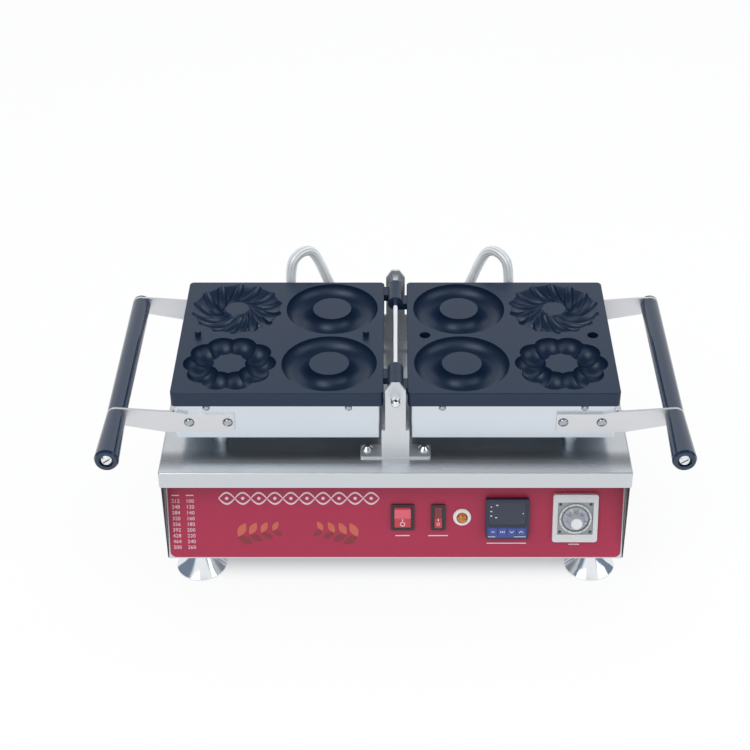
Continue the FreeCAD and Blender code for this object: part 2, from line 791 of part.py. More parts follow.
def brackets():
    """Upright straps that carry the hinge rod, each with a foot on the cover. Gives the feet's bolts."""
    body = new_body("front_bracket")
    waist, neck, tip = "bracket_waist_width / 2", "bracket_neck_width / 2", "bracket_tip_width / 2"
    ledge = "(axis_rise - bracket_waist_rise)"
    half = [
        (waist, "-axis_rise"), (waist, f"-{ledge}"), (neck, f"-{ledge}"),
        (neck, "bracket_neck_rise"), (tip, "bracket_tip_rise"),
    ]
    upright = half + [(f"-{x}", z) for x, z in reversed(half)]
    bore = circle(0, 0, "rod_radius + rod_fit")
    inner = f"{MID} - {BRACKET_FACE}"
    pad(body, sketch(body, "XZ_Plane", [upright, bore], f"-({inner})", up=AXIS), "bracket_sheet")
    row = f"{MID} - {BRACKET_FACE} - bracket_sheet + bracket_foot_reach / 2"
    flange = rectangle(0, row, "bracket_foot_width / 2", "bracket_foot_reach / 2", "bracket_sheet")
    holes = [circle(f"{side} * bolt_spread", f"{MID} - {BOLT_ROW}", "bolt_radius + bolt_fit")
             for side in (-1, 1)]
    pad(body, sketch(body, "XY_Plane", [flange] + holes, BASE_TOP), "bracket_sheet")
    node("front_bracket", body)
    node("rear_bracket", mirrored("rear_bracket", body, "Y"))

    bolt = revolved("bracket_bolt", [
        (0, "-bolt_reach"), ("bolt_radius", "-bolt_reach"), ("bolt_radius", 0), ("bolt_head_radius", 0),
        ("bolt_head_radius", "bolt_head_height / 3"), ("bolt_head_radius / 2", "bolt_head_height"),
        (0, "bolt_head_height"),
    ])
    place(bolt, "bolt_spread", f"{MID} - {BOLT_ROW}", f"{BASE_TOP} + bracket_sheet")
    return four_of("bracket_bolts", bolt)


def hinge(bolts):
    """The rod through both brackets and all four ears, with two nuts at each bracket and a dome nut."""
    reach = f"({BRACKET_FACE} + bracket_sheet + rod_grip)"
    back = Vector(1, 0, 0)
    node("hinge_rod", rod("hinge_rod", "rod_radius", f"2 * {reach}", 0, f"{MID} + {reach}", AXIS, back, 90))
    dome = revolved("dome_nut_cap", [
        (0, 0), ("nut_radius * cos(30)", 0), ("nut_radius * cos(30)", "dome_height - nut_radius * cos(30)",
                                              ("nut_radius * cos(30)", 1)), (0, "dome_height"),
    ])
    blind = rod("dome_nut_bore", "rod_radius", "dome_grip")
    blank = fuse("dome_nut_blank", hexagon("dome_nut_hex", "nut_radius", "nut_hex_height"), dome)
    nut = cut("dome_nut", blank, blind)
    place(nut, 0, f"{MID} - {BRACKET_FACE} - bracket_sheet - nut_hex_height", AXIS, back, 90)
    nuts = [nut]
    faces = (f"{MID} - {BRACKET_FACE} + nut_hex_height", f"{MID} - {BRACKET_FACE} - bracket_sheet")
    for k, y in enumerate(faces):
        bore = rod(f"lock_nut_{k}_bore", "rod_radius", "3 * nut_hex_height", z="-nut_hex_height")
        lock = cut(f"lock_nut_{k}", hexagon(f"lock_nut_{k}_hex", "nut_radius", "nut_hex_height"), bore)
        nuts.append(place(lock, 0, y, AXIS, back, 90))
    nuts += [mirrored(f"{piece.Name}_back", piece, "Y") for piece in nuts]
    node("hinge_fasteners", group("hinge_fasteners", [bolts] + nuts))


def rest_posts():
    """Collared posts on the cover that carry the housings when the plates lie open."""
    top = f"({HOUSING_FOOT} - post_gap - {BASE_TOP})"
    post = revolved("rest_post", [
        (0, 0), ("post_collar_radius", 0), ("post_collar_radius", "post_collar_height"),
        ("post_radius", "post_collar_height"), ("post_radius", top), (0, top),
    ])
    place(post, "post_place", f"{MID} - post_row", BASE_TOP)
    node("rest_posts", four_of("rest_posts", post))


# Baking plates


def mold_plate(side, sign):
    """A cast plate with two ring cavities on the hinge side, and a swirl and a flower outside them.

    The left plate carries two dowels, and the right plate has the wide sockets that they drop into.
    """
    body = new_body(f"{side}_mold_plate")
    middle = f"{sign} * {PLATE_MID}"
    slab = rectangle(middle, MID, "plate_width / 2", "plate_depth / 2", "plate_corner")
    pad(body, sketch(body, "XY_Plane", [slab], PLATE_FOOT), "plate_thickness")
    rounded(body, "plate_edge", at_height(PLATE_TOP))
    wall = "(housing_sheet + core_fit)"
    core = rectangle(middle, MID, f"{HOUSING_HALF_WIDTH} - {wall}", f"{HOUSING_HALF_DEPTH} - {wall}")
    pad(body, sketch(body, "XY_Plane", [core], CORE_FOOT), "core_depth")
    inner = f"{sign} * ({PLATE_MID} - cavity_pitch / 2)"
    outer = f"{sign} * ({PLATE_MID} + cavity_pitch / 2)"
    front, back = f"{MID} - cavity_pitch / 2", f"{MID} + cavity_pitch / 2"
    for y in (front, back):
        ring_cavity(body, inner, y, "ring_mid_radius", "ring_tube_radius", 0)
    flower_cavity(body, outer, front)
    ring_cavity(body, outer, back, "swirl_mid_radius", "swirl_trough_radius", "swirl_trough_rise")
    swirl_cavity(body, outer, back, sign)
    core_face = f"({HOUSING_HALF_DEPTH} - {wall})"
    holes = [circle(f"-({sign}) * {x}", LID_SCREW_Z, "screw_radius + screw_fit") for x in LID_SCREW_X]
    depth = f"lid_screw_reach - {wall} + screw_fit"
    pocket(body, sketch(body, "XZ_Plane", holes, f"-({MID} - {core_face})"), depth)
    pocket(body, sketch(body, "XZ_Plane", holes, f"-({MID} + {core_face})"), depth, upward=True)
    socket = "pin_radius + pin_fit" if sign < 0 else "pin_hole_radius"
    sockets = [circle(f"{middle} + {end} * pin_spread", MID, socket) for end in (-1, 1)]
    pocket(body, sketch(body, "XY_Plane", sockets, PLATE_TOP), "pin_hole_depth")
    node(f"{side}_mold_plate", body)


def pins():
    """Dowels in the left plate that find the sockets of the right one."""
    foot, length = f"{PLATE_TOP} - pin_hole_depth", "pin_hole_depth + pin_height"
    node("left_pins", group("left_pins", [
        rod(f"left_pin_{k}", "pin_radius", length, f"-{PLATE_MID} + {end} * pin_spread", MID, foot)
        for k, end in enumerate((-1, 1))]))


def hinge_ears(side, sign):
    """Two ears on a plate's edge, round the hinge rod. The right plate's lie in front of the left's."""
    root, flat = "plate_gap / 2", "face_gap"
    start = "sqrt(ear_radius * ear_radius - face_gap * face_gap)"
    profile = [
        (f"{sign} * ({root})", f"-{flat}"), (f"{sign} * {start}", f"-{flat}", ("ear_radius", sign, "wide")),
        (0, "-ear_radius"), (f"{sign} * ({root})", "-ear_radius"),
    ]
    bore = circle(0, 0, "rod_radius + rod_fit")
    outer = "(plate_depth / 2 - ear_inset)"
    if sign > 0:
        backs = [f"{MID} - {outer} + ear_length", f"{MID} + {outer} - ear_length - ear_gap"]
    else:
        backs = [f"{MID} - {outer} + 2 * ear_length + ear_gap", f"{MID} + {outer}"]
    made = []
    for k, back in enumerate(backs):
        ear = new_body(f"{side}_ear_{k}")
        pad(ear, sketch(ear, "XZ_Plane", [profile, bore], f"-({back})", up=AXIS), "ear_length")
        made.append(ear)
    node(f"{side}_hinge_ears", group(f"{side}_hinge_ears", made))


def ring_cavity(body, x, y, mid_radius, tube_radius, rise):
    groove = body.newObject("PartDesign::SubtractiveTorus", f"{body.Name}_ring")
    seat(groove, body, "XY_Plane", x, y, f"{PLATE_TOP} + {rise}")
    bind(groove, Radius1=mid_radius, Radius2=tube_radius)


def flower_cavity(body, x, y):
    centre = sketch(body, "XY_Plane", [], PLATE_TOP, across=x, up=y)
    lobe = body.newObject("PartDesign::SubtractiveSphere", f"{body.Name}_lobe")
    seat(lobe, body, "XY_Plane", f"{x} + flower_mid_radius", y, PLATE_TOP)
    bind(lobe, Radius="flower_lobe_radius")
    patterned(body, lobe, centre, "flower_lobes")


def swirl_cavity(body, x, y, sign):
    """Flutes across a ring trough, off the radius, each the lower part of an upright ring."""
    centre = sketch(body, "XY_Plane", [], PLATE_TOP, across=x, up=y)
    flute = body.newObject("PartDesign::SubtractiveTorus", f"{body.Name}_flute")
    seat(flute, body, "XZ_Plane", f"{x} + swirl_mid_radius", f"{PLATE_TOP} + swirl_rise", f"-({y})",
         Vector(0, 1, 0), f"{sign} * swirl_angle")
    bind(flute, Radius1="swirl_arc_radius", Radius2="swirl_flute_radius")
    patterned(body, flute, centre, "swirl_flutes")


def seat(feature, body, plane, x, y, z, axis=None, angle=0):
    """Attaches a solid feature to an origin plane, moved and turned in that plane's own frame."""
    feature.AttachmentSupport = [(origin_plane(body, plane), "")]
    feature.MapMode = "FlatFace"
    feature.AttachmentOffset = Placement(Vector(), Rotation(axis or Vector(0, 0, 1), value(angle)))
    for letter, words in zip("xyz", (x, y, z)):
        feature.setExpression(f"AttachmentOffset.Base.{letter}", formula(words))
    if axis:
        feature.setExpression("AttachmentOffset.Rotation.Angle", formula(angle))


# What hangs under each plate, made on the left and mirrored to the right


def both_sides(name, piece):
    node(f"left_{name}", piece)
    node(f"right_{name}", mirrored(f"right_{name}", piece, "X"))


LEFT_MID = f"-{PLATE_MID}"
HOUSING_FRONT = f"({MID} - {HOUSING_HALF_DEPTH})"
LID_SCREW_Z = f"({PLATE_FOOT} - lid_screw_gap - lid_screw_head_radius)"
LID_SCREW_X = [f"({LEFT_MID} + {end} * lid_screw_spread)" for end in (-1, 1)]
ARM_SCREW_Z = f"({AXIS} - arm_screw_drop)"
ARM_SCREW_X = [f"(-({PLATE_OUTER} - arm_screw_outer - {k} * arm_screw_pitch))" for k in (0, 1)]


def housing():
    """An open-topped sheet box, with holes for its screws and for the hose elbow."""
    body = new_body("left_housing")
    shell = rectangle(LEFT_MID, MID, HOUSING_HALF_WIDTH, HOUSING_HALF_DEPTH, "housing_bend")
    pad(body, sketch(body, "XY_Plane", [shell], HOUSING_FOOT), "housing_height")
    wall = "housing_sheet"
    room = rectangle(LEFT_MID, MID, f"{HOUSING_HALF_WIDTH} - {wall}", f"{HOUSING_HALF_DEPTH} - {wall}",
                     f"(housing_bend - {wall})")
    pocket(body, sketch(body, "XY_Plane", [room], PLATE_FOOT), f"housing_height - {wall}")
    holes = [circle(x, LID_SCREW_Z, "screw_radius + screw_fit") for x in LID_SCREW_X]
    holes += [circle(x, ARM_SCREW_Z, "screw_radius + screw_fit") for x in ARM_SCREW_X]
    pocket(body, sketch(body, "XZ_Plane", holes, f"-{HOUSING_FRONT}"), f"2 * {HOUSING_HALF_DEPTH}")
    both_sides("housing", body)


def heater():
    """One tubular element bent to and fro under the plate's core."""
    radius, pitch = value("heater_radius"), value("heater_pitch")
    half, bend = value("heater_length / 2") - value("heater_pitch / 2"), value("heater_pitch / 2")
    legs = int(value("heater_legs"))
    x, y = value(LEFT_MID) - pitch * (legs - 1) / 2, value(MID)
    z = value(f"{CORE_FOOT} - heater_gap - heater_radius")
    edges = []
    for leg in range(legs):
        sign = 1 if leg % 2 == 0 else -1
        start, end = Vector(x, y - sign * half, z), Vector(x, y + sign * half, z)
        edges.append(Part.LineSegment(start, end).toShape())
        if leg < legs - 1:
            top = Vector(x + pitch / 2, y + sign * (half + bend), z)
            edges.append(Part.Arc(end, top, Vector(x + pitch, y + sign * half, z)).toShape())
        x += pitch
    both_sides("heater", swept("left_heater", edges, radius))


def swept(name, edges, radius):
    """A round bar along a path of lines and tangent arcs."""
    path = Part.Wire(edges)
    start = edges[0]
    first = start.FirstParameter
    ring = Part.makeCircle(radius, start.valueAt(first), start.tangentAt(first))
    bar = doc.addObject("Part::Feature", name)
    bar.Shape = path.makePipeShell([Part.Wire([ring])], True, False)
    drift = bar.Shape.Volume / (math.pi * radius**2 * path.Length) - 1
    print(f"{name}: length {path.Length:.1f} mm, volume off by {100 * drift:.2f}%")
    return bar


def insulation_and_probe():
    top = f"({CORE_FOOT} - 2 * heater_gap - 2 * heater_radius)"
    body = new_body("left_insulation")
    inset = "(housing_sheet + insulation_fit)"
    half_width, half_depth = f"{HOUSING_HALF_WIDTH} - {inset}", f"{HOUSING_HALF_DEPTH} - {inset}"
    slab = rectangle(LEFT_MID, MID, half_width, half_depth, "housing_bend")
    foot = f"({HOUSING_FOOT} + housing_sheet)"
    pad(body, sketch(body, "XY_Plane", [slab], foot), f"{top} - {foot}")
    both_sides("insulation", body)
    y, z = f"{MID} + probe_length / 2", f"{CORE_FOOT} - heater_gap - probe_radius"
    probe = rod("left_probe", "probe_radius", "probe_length", LEFT_MID, y, z, Vector(1, 0, 0), 90)
    both_sides("probe", probe)


# Handles


def arms():
    """Flat arms on the housing's front and back, drawn in to the width of the grip they carry."""
    body = new_body("left_front_arm")
    root, knee = f"-({PLATE_OUTER} - arm_overlap)", f"-({PLATE_OUTER} + arm_knee)"
    step = f"-({PLATE_OUTER} - arm_step_start)"
    top, foot = f"{AXIS} - arm_drop", f"{AXIS} - arm_drop - arm_height"
    end = f"-{HANDLE_X}"
    outline = [
        (root, foot), (root, top), (step, top), (f"{step} - arm_step_run", f"{top} + arm_step"),
        (knee, f"{top} + arm_step"), (end, f"{HANDLE_Z} + grip_radius", ("grip_radius", 1)),
        (f"{end} - grip_radius", HANDLE_Z, ("grip_radius", 1)), (end, f"{HANDLE_Z} - grip_radius"),
        (knee, foot),
    ]
    holes = [circle(x, ARM_SCREW_Z, "screw_radius + screw_fit") for x in ARM_SCREW_X]
    holes.append(circle(end, HANDLE_Z, "handle_rod_radius + handle_rod_fit"))
    pad(body, sketch(body, "XZ_Plane", [outline] + holes, f"-{HOUSING_FRONT}"), "arm_sheet")
    both_sides("front_arm", body)
    both_sides("rear_arm", mirrored("left_rear_arm", body, "Y"))


def screws():
    """Arm screws, and the screws that hold each housing to its plate's core."""
    made = []
    for kind, head, seat_y, reach, z, places in (
        ("arm_screw", "screw_head_radius", f"{HOUSING_FRONT} - arm_sheet", "(arm_sheet + housing_sheet)",
         ARM_SCREW_Z, ARM_SCREW_X),
        ("lid_screw", "lid_screw_head_radius", HOUSING_FRONT, "lid_screw_reach", LID_SCREW_Z, LID_SCREW_X),
    ):
        for k, x in enumerate(places):
            screw = revolved(f"left_{kind}_{k}", [
                (0, f"-{reach}"), ("screw_radius", f"-{reach}"), ("screw_radius", 0), (head, 0),
                (head, "screw_head_height / 3"), (f"{head} * screw_head_taper", "screw_head_height"),
                (0, "screw_head_height"),
            ])
            made.append(place(screw, x, seat_y, z, Vector(1, 0, 0), 90))
    made += [mirrored(f"{screw.Name}_back", screw, "Y") for screw in made]
    both_sides("screws", group("left_screws", made))


def handles():
    """A grip between the arms, a flared end in front, a cap behind and a rod through all of them."""
    forward, half = Vector(1, 0, 0), HOUSING_HALF_DEPTH
    bore = "handle_rod_radius + handle_rod_fit"
    grip = revolved("left_grip", [
        (bore, f"-{half}"), ("grip_radius", f"-{half}"), ("grip_radius", half), (bore, half)])
    both_sides("grip", place(grip, f"-{HANDLE_X}", MID, HANDLE_Z, forward, 90))
    front = f"({half} + arm_sheet)"
    tip, well = "(base_depth / 2 + grip_front_reach)", "handle_head_radius + handle_head_room"
    flare = revolved("left_grip_flare", [
        (bore, front), ("grip_radius", front), ("grip_flare_radius", f"{tip} - grip_edge"),
        ("grip_flare_radius - grip_edge / 2", tip), (well, tip), (well, f"{tip} - grip_well_depth"),
        (bore, f"{tip} - grip_well_depth"),
    ])
    end = f"({front} + grip_back_reach)"
    cap = revolved("left_grip_cap", [
        (0, f"-{end}"), ("grip_radius - grip_cap_edge", f"-{end}", ("grip_cap_edge", 1)),
        ("grip_radius", f"-{end} + grip_cap_edge"), ("grip_radius", f"-{front}"), (bore, f"-{front}"),
        (bore, f"-{end} + grip_cap_edge"), (0, f"-{end} + grip_cap_edge"),
    ])
    for piece in (flare, cap):
        place(piece, f"-{HANDLE_X}", MID, HANDLE_Z, forward, 90)
    both_sides("grip_ends", group("left_grip_ends", [flare, cap]))
    seat_z = f"({tip} - grip_well_depth)"
    bolt = revolved("left_handle_rod", [
        (0, f"-{end} + grip_cap_edge"), ("handle_rod_radius", f"-{end} + grip_cap_edge"),
        ("handle_rod_radius", seat_z),
        ("handle_head_radius", seat_z), ("handle_head_radius", f"{seat_z} + handle_head_height / 2"),
        ("handle_head_radius * handle_head_taper", f"{seat_z} + handle_head_height"),
        (0, f"{seat_z} + handle_head_height"),
    ])
    both_sides("handle_rod", place(bolt, f"-{HANDLE_X}", MID, HANDLE_Z, forward, 90))


# Hoses, glands and electrical parts


def hose(side, sign):
    """A flexible metal hose along its route, with the largest arcs that its runs allow."""
    middle, top = value(MID), value(BASE_TOP)
    skew = value(HOSE_X[side]) - sign * value("hose_place")
    points = [Vector(-sign * x + skew, middle + y, top + z) for x, y, z in HOSE_ROUTE]
    edges, at, radii = [], points[0], []
    for before, corner, after in zip(points, points[1:], points[2:]):
        into, out = corner - before, after - corner
        turn = into.getAngle(out)
        reach = RUN_SHARE * min(into.Length, out.Length)
        radii.append(round(reach / math.tan(turn / 2)))
        into.normalize()
        out.normalize()
        start, end = corner - into * reach, corner + out * reach
        edges.append(Part.LineSegment(at, start).toShape())
        edges.append(Part.Arc(start, arc_middle(corner, into, out, reach, turn), end).toShape())
        at = end
    edges.append(Part.LineSegment(at, points[-1]).toShape())
    print(f"{side} hose: bend radii in mm {radii}")
    node(f"{side}_hose", swept(f"{side}_hose", edges, value("hose_radius")))


def arc_middle(corner, into, out, reach, turn):
    """The middle of the arc that rounds a corner, touching both runs at that reach from it."""
    radius = reach / math.tan(turn / 2)
    inward = (out - into).normalize()
    return corner + inward * (radius / math.cos(turn / 2) - radius)


def glands():
    """Elbows on the housings, glands on the base's back wall for the hoses and for the mains lead."""
    wall_y, z = f"({MID} + {HOUSING_HALF_DEPTH})", f"({AXIS} - elbow_drop)"
    away = Vector(1, 0, 0)
    turn_y = f"{wall_y} + elbow_reach"
    for side, x in HOSE_X.items():
        out = rod(f"{side}_elbow_out", "elbow_radius", "elbow_reach", x, wall_y, z, away, -90)
        up = rod(f"{side}_elbow_up", "elbow_radius", "elbow_rise", x, turn_y, z)
        ball = bind(doc.addObject("Part::Sphere", f"{side}_elbow_ball"), Radius="elbow_radius")
        nut = hexagon(f"{side}_elbow_nut", "gland_nut_radius", "gland_nut_height", x, wall_y, z, away, -90)
        node(f"{side}_hose_elbow", fuse(f"{side}_hose_elbow", out, place(ball, x, turn_y, z), up, nut))

    back = f"({MID} + {WALL_HALF_DEPTH})"
    reach = f"({MID} + base_depth / 2 + gland_reach - {back})"

    def gland(name, x, z, bore_radius):
        outline = [
            (bore_radius, "-3 * wall_sheet"), ("gland_radius", "-3 * wall_sheet"), ("gland_radius", 0),
            ("gland_nut_radius", 0), ("gland_nut_radius", "gland_nut_height"),
            ("gland_radius + gland_step", "gland_nut_height"), ("gland_radius", reach),
            (bore_radius, reach),
        ]
        return place(revolved(name, outline), x, back, z, away, -90)

    pair = [gland(f"{side}_hose_gland", x, f"{BASE_TOP} - hose_base_drop", "hose_radius / 2")
            for side, x in HOSE_BASE_X.items()]
    mains = gland("mains_gland", "mains_place", f"{BASE_TOP} - mains_drop", "mains_bore_radius")
    node("base_glands", group("base_glands", pair + [mains]))


def electrics():
    """Relay, terminal block and alarm buzzer on the floor plate."""
    row = f"({MID} + inside_row)"
    relay = new_body("relay")
    case = rectangle("-relay_place", row, "relay_width / 2", "relay_depth / 2", "switch_corner")
    pad(relay, sketch(relay, "XY_Plane", [case], FLOOR_TOP), "relay_height")
    node("relay", relay)
    block = new_body("terminal_block")
    strip = rectangle("terminal_place", row, "terminal_width / 2", "terminal_depth / 2")
    pad(block, sketch(block, "XY_Plane", [strip], FLOOR_TOP), "terminal_height")
    bay = "terminal_width / terminal_bays"
    bays = [circle(f"terminal_place - terminal_width / 2 + {bay} * ({k} + 0.5)", row, f"{bay} / 4")
            for k in range(int(SIZES["terminal_bays"]))]
    pocket(block, sketch(block, "XY_Plane", bays, f"{FLOOR_TOP} + terminal_height"), "terminal_height / 2")
    node("terminal_block", block)
    node("buzzer", revolved("buzzer", [
        (0, 0), ("buzzer_radius", 0), ("buzzer_radius", "buzzer_height"), ("screw_radius", "buzzer_height"),
        ("screw_radius", "buzzer_height / 2"), (0, "buzzer_height / 2")]))
    place(nodes["buzzer"], "-buzzer_place", row, FLOOR_TOP)


def write_parts():
    """Checks every object and writes each piece to its own file."""
    doc.recompute()
    broken = [o.Label for o in doc.Objects if {"Invalid", "Error"} & set(o.State)]
    broken += [name for name, o in nodes.items()
               if o.Shape.isNull() or not o.Shape.isValid() or not o.Shape.Solids]
    if broken:
        raise RuntimeError(f"these did not build: {broken}")
    os.makedirs("parts", exist_ok=True)
    for name, thing in nodes.items():
        thing.Shape.exportStep(f"parts/{name}.step")
    print(f"{len(nodes)} pieces, {sum(len(o.Shape.Solids) for o in nodes.values())} solids")


top_cover()
chassis()
floor_plate()
front_panel()
rocker_switch("power", "power_width", "power_place", 1)
rocker_switch("alarm", "alarm_width", "alarm_place", -1)
pilot_lamp()
temperature_controller()
timer()
feet()
hinge(brackets())
rest_posts()
for side, sign in (("left", -1), ("right", 1)):
    mold_plate(side, sign)
    hinge_ears(side, sign)
    hose(side, sign)
pins()
housing()
heater()
insulation_and_probe()
arms()
screws()
handles()
glands()
electrics()
write_parts()
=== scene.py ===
"""Dresses the donut maker: finishes for its solids, a printed panel film, control markings, screws, hoses
and a plain studio. Every piece is in metres, in the frame of the solids.
"""

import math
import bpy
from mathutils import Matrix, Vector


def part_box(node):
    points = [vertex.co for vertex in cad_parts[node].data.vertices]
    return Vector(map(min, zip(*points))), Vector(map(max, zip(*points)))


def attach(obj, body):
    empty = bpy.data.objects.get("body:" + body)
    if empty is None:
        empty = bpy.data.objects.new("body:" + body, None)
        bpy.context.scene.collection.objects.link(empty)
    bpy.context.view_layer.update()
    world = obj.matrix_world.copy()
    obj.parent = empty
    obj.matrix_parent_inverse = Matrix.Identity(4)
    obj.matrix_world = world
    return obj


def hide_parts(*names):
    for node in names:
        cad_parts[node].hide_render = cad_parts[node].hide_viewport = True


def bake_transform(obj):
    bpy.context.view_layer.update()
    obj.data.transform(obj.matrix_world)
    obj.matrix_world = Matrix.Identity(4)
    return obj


bl_info = {
    "name": "Donut maker",
    "version": (1, 0, 0),
    "blender": (4, 5, 0),
    "location": "View3D > Sidebar > Donut maker",
    "description": "Finishes, prints, screws and hoses of a donut maker with flip-over baking plates",
    "category": "Object",
}

import bmesh
import bpy
from bpy.props import FloatProperty, FloatVectorProperty, IntProperty, PointerProperty
from mathutils import Matrix, Vector

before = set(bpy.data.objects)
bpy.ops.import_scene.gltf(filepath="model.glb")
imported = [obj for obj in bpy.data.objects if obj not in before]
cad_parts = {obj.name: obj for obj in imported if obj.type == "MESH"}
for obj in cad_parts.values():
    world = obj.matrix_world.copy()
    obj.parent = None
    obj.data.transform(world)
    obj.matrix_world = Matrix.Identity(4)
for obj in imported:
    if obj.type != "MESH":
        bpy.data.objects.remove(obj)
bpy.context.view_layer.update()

MM = 0.001
SIDES = (("left", -1), ("right", 1))
COVER_LOW, COVER_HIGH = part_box("top_cover")
BASE_MIDDLE = (COVER_LOW[1] + COVER_HIGH[1]) / 2
BASE_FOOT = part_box("chassis")[0][2]
WALL_SKIN = 0.0005

# The left hose from the base's back wall to its housing: X, then Y from the middle of the base and Z from
# its top. The right one is its mirror image, set farther out by the skew.
HOSE_SKEW = 0.010
HOSE_ROUTE = [
    (-0.060, 0.1582, -0.072),
    (-0.060, 0.1794, -0.072),
    (-0.061, 0.197, -0.054),
    (-0.066, 0.197, -0.024),
    (-0.074, 0.188, 0.014),
    (-0.082, 0.172, 0.050),
    (-0.094, 0.153, 0.097),
    (-0.1029, 0.1449, 0.110),
    (-0.1153, 0.1338, 0.110),
    (-0.124, 0.126, 0.098),
    (-0.124, 0.126, 0.0623),
]


def colour(label, description, rgb):
    return FloatVectorProperty(
        name=label, description=description, subtype="COLOR", size=3, min=0, max=1, default=rgb)


def length(label, description, metres):
    return FloatProperty(name=label, description=description, unit="LENGTH", min=0, default=metres)


def angle(label, description, degrees):
    return FloatProperty(name=label, description=description, subtype="ANGLE", default=math.radians(degrees))


class DonutMakerFinishes(bpy.types.PropertyGroup):
    """Colours of the machine's materials"""

    steel: colour("Base steel", "Bright sheet of the base", (0.64, 0.67, 0.705))
    # Painted shade: the near-black colour painted on the inner faces of the side and back walls, which lie in
    # shade
    inside: colour("Inside", "Shaded inside of the side walls", (0.035, 0.035, 0.04))
    bracket: colour("Bracket steel", "Plain sheet of the hinge brackets", (0.70, 0.725, 0.75))
    housing: colour("Housing steel", "Finer sheet of the heater housings", (0.70, 0.755, 0.82))
    arm: colour("Arm steel", "Thicker strip of the handle arms", (0.715, 0.725, 0.75))
    chrome: colour("Chrome", "Feet, nuts and rods", (0.80, 0.83, 0.86))
    screw: colour("Screw steel", "Duller plating of the screws", (0.42, 0.45, 0.49))
    coating: colour("Plate coating", "Dark non-stick coating of the baking plates", (0.0038, 0.0128, 0.034))
    phenolic: colour("Grip", "Hard dark plastic of the grips", (0.006, 0.0245, 0.060))
    film: colour("Panel film", "Printed film on the front panel", (0.42, 0.029, 0.079))
    rocker: colour("Rocker", "Red plastic of the rockers", (0.55, 0.028, 0.05))
    # Painted light: the power rocker's upper half is painted paler as a highlight, the alarm rocker's darker
    # as shade
    rocker_lit: colour("Lit half", "Upper half of the lit rocker", (0.74, 0.10, 0.15))
    rocker_dim: colour("Dim half", "Upper half of the dark rocker", (0.22, 0.012, 0.022))
    case: colour("Controller case", "Dark case of the controller", (0.024, 0.025, 0.062))
    amber: colour("Lamp", "Amber lens of the pilot lamp", (0.80, 0.26, 0.03))
    lamp_ring: colour("Lamp ring", "White ring of the pilot lamp", (0.92, 0.92, 0.93))
    window: colour("Window", "Dark window of the controller", (0.03, 0.042, 0.07))
    keys: colour("Keys", "Blue keys of the controller", (0.055, 0.085, 0.33))
    timer: colour("Timer frame", "Pale grey frame and dial ring of the timer", (0.70, 0.70, 0.71))
    timer_face: colour("Timer face", "Darker grey face of the timer", (0.36, 0.38, 0.38))
    # Also the colour of the painted shade in the screw recesses and rod slots, and of the painted shadow
    # round the screw heads
    timer_dark: colour("Timer marks", "Dark screws and ticks of the timer", (0.05, 0.05, 0.055))
    knob: colour("Knob", "Pale grey skirt of the timer's knob", (0.46, 0.49, 0.54))
    cap: colour("Knob cap", "White cap of the timer's knob", (0.8, 0.81, 0.82))
    mark: colour("Control marks", "Pale marks on the rockers and the controller", (0.75, 0.76, 0.78))
    black: colour("Black plastic", "Switches, relay and buzzer", (0.022, 0.022, 0.026))
    cream: colour("Terminal block", "Cream plastic of the terminal block", (0.62, 0.57, 0.46))
    fibre: colour("Insulation", "Pale fibre board in the housings", (0.7, 0.68, 0.62))
    sleeve: colour("Hose sleeve", "Pale metal braid of the hoses", (0.93, 0.95, 0.965))
    print_pale: colour("Pale print", "Figures, bars and waves on the film", (0.74, 0.62, 0.68))
    print_dark: colour("Dark print", "Darker leaves on the film", (0.24, 0.03, 0.04))
    print_warm: colour("Warm print", "Lighter leaves on the film", (0.58, 0.13, 0.08))


class DonutMakerPanel(bpy.types.PropertyGroup):
    """Where the leaning panel and its print are"""

    lean: angle("Lean", "How far the panel's top leans back", 15)
    setback: length("Setback", "From the base's front edge to the panel's foot", 0.0005)
    row: length("Control row", "How far up the slope the controls are centred", 0.0515)
    film: length("Film", "Thickness of the printed film", 0.0004)
    ink: length("Ink", "Thickness of the print", 0.00006)


class DonutMakerControls(bpy.types.PropertyGroup):
    """Heights and steps of the controls on the panel"""

    mark: length("Mark", "Thickness of a printed mark", 0.00008)
    rocker_radius: length("Rocker radius", "From a rocker's pivot to its ends", 0.0125)
    rocker_dish: length("Rocker dish", "Height of a rocker's middle over its pivot", 0.0026)
    rocker_end: angle("Rocker end", "Where a rocker's face ends, seen from its pivot", 18)
    rocker_tilt: angle("Rocker tilt", "How far a rocker leans at rest", 8)
    case_rise: length("Case", "Height of the controller's case", 0.007)
    glass_rise: length("Window", "Height of the controller's window", 0.0066)
    key_rise: length("Keys", "Height of the controller's keys", 0.0079)
    key_pitch: length("Key pitch", "From one key to the next", 0.0104)
    key_drop: length("Key drop", "From the controller's middle down to its keys", 0.015)
    key_half_width: length("Key half width", "Half of a key's well across", 0.00485)
    key_half_height: length("Key half height", "Half of a key's well up and down", 0.00465)
    dial_rise: length("Timer face", "Height of the timer's face", 0.0035)
    ring_rise: length("Dial ring", "Height of the dial ring over the face", 0.0024)
    ring_inner: length("Ring inside", "Inner radius of the dial ring", 0.016)
    ring_outer: length("Ring outside", "Outer radius of the dial ring", 0.018)
    knob_rise: length("Knob", "Height of the knob's top over the face", 0.0153)
    knob_top: length("Knob top", "Radius of the knob's top", 0.0064)


class DonutMakerScrews(bpy.types.PropertyGroup):
    """Pan-head screws on the housings and arms"""

    head: length("Arm screw", "Radius of the arm screws' heads", 0.005)
    lid_head: length("Lid screw", "Radius of the housing screws' heads", 0.0036)
    rise: length("Rise", "Height of a head", 0.0028)
    recess: length("Recess", "Depth of the cross recess", 0.0014)


class DonutMakerHose(bpy.types.PropertyGroup):
    """The two braided hoses"""

    diameter: length("Diameter", "Outer diameter of a hose", 0.012)
    around: IntProperty(name="Sides", description="Faces round a hose", min=8, default=28)


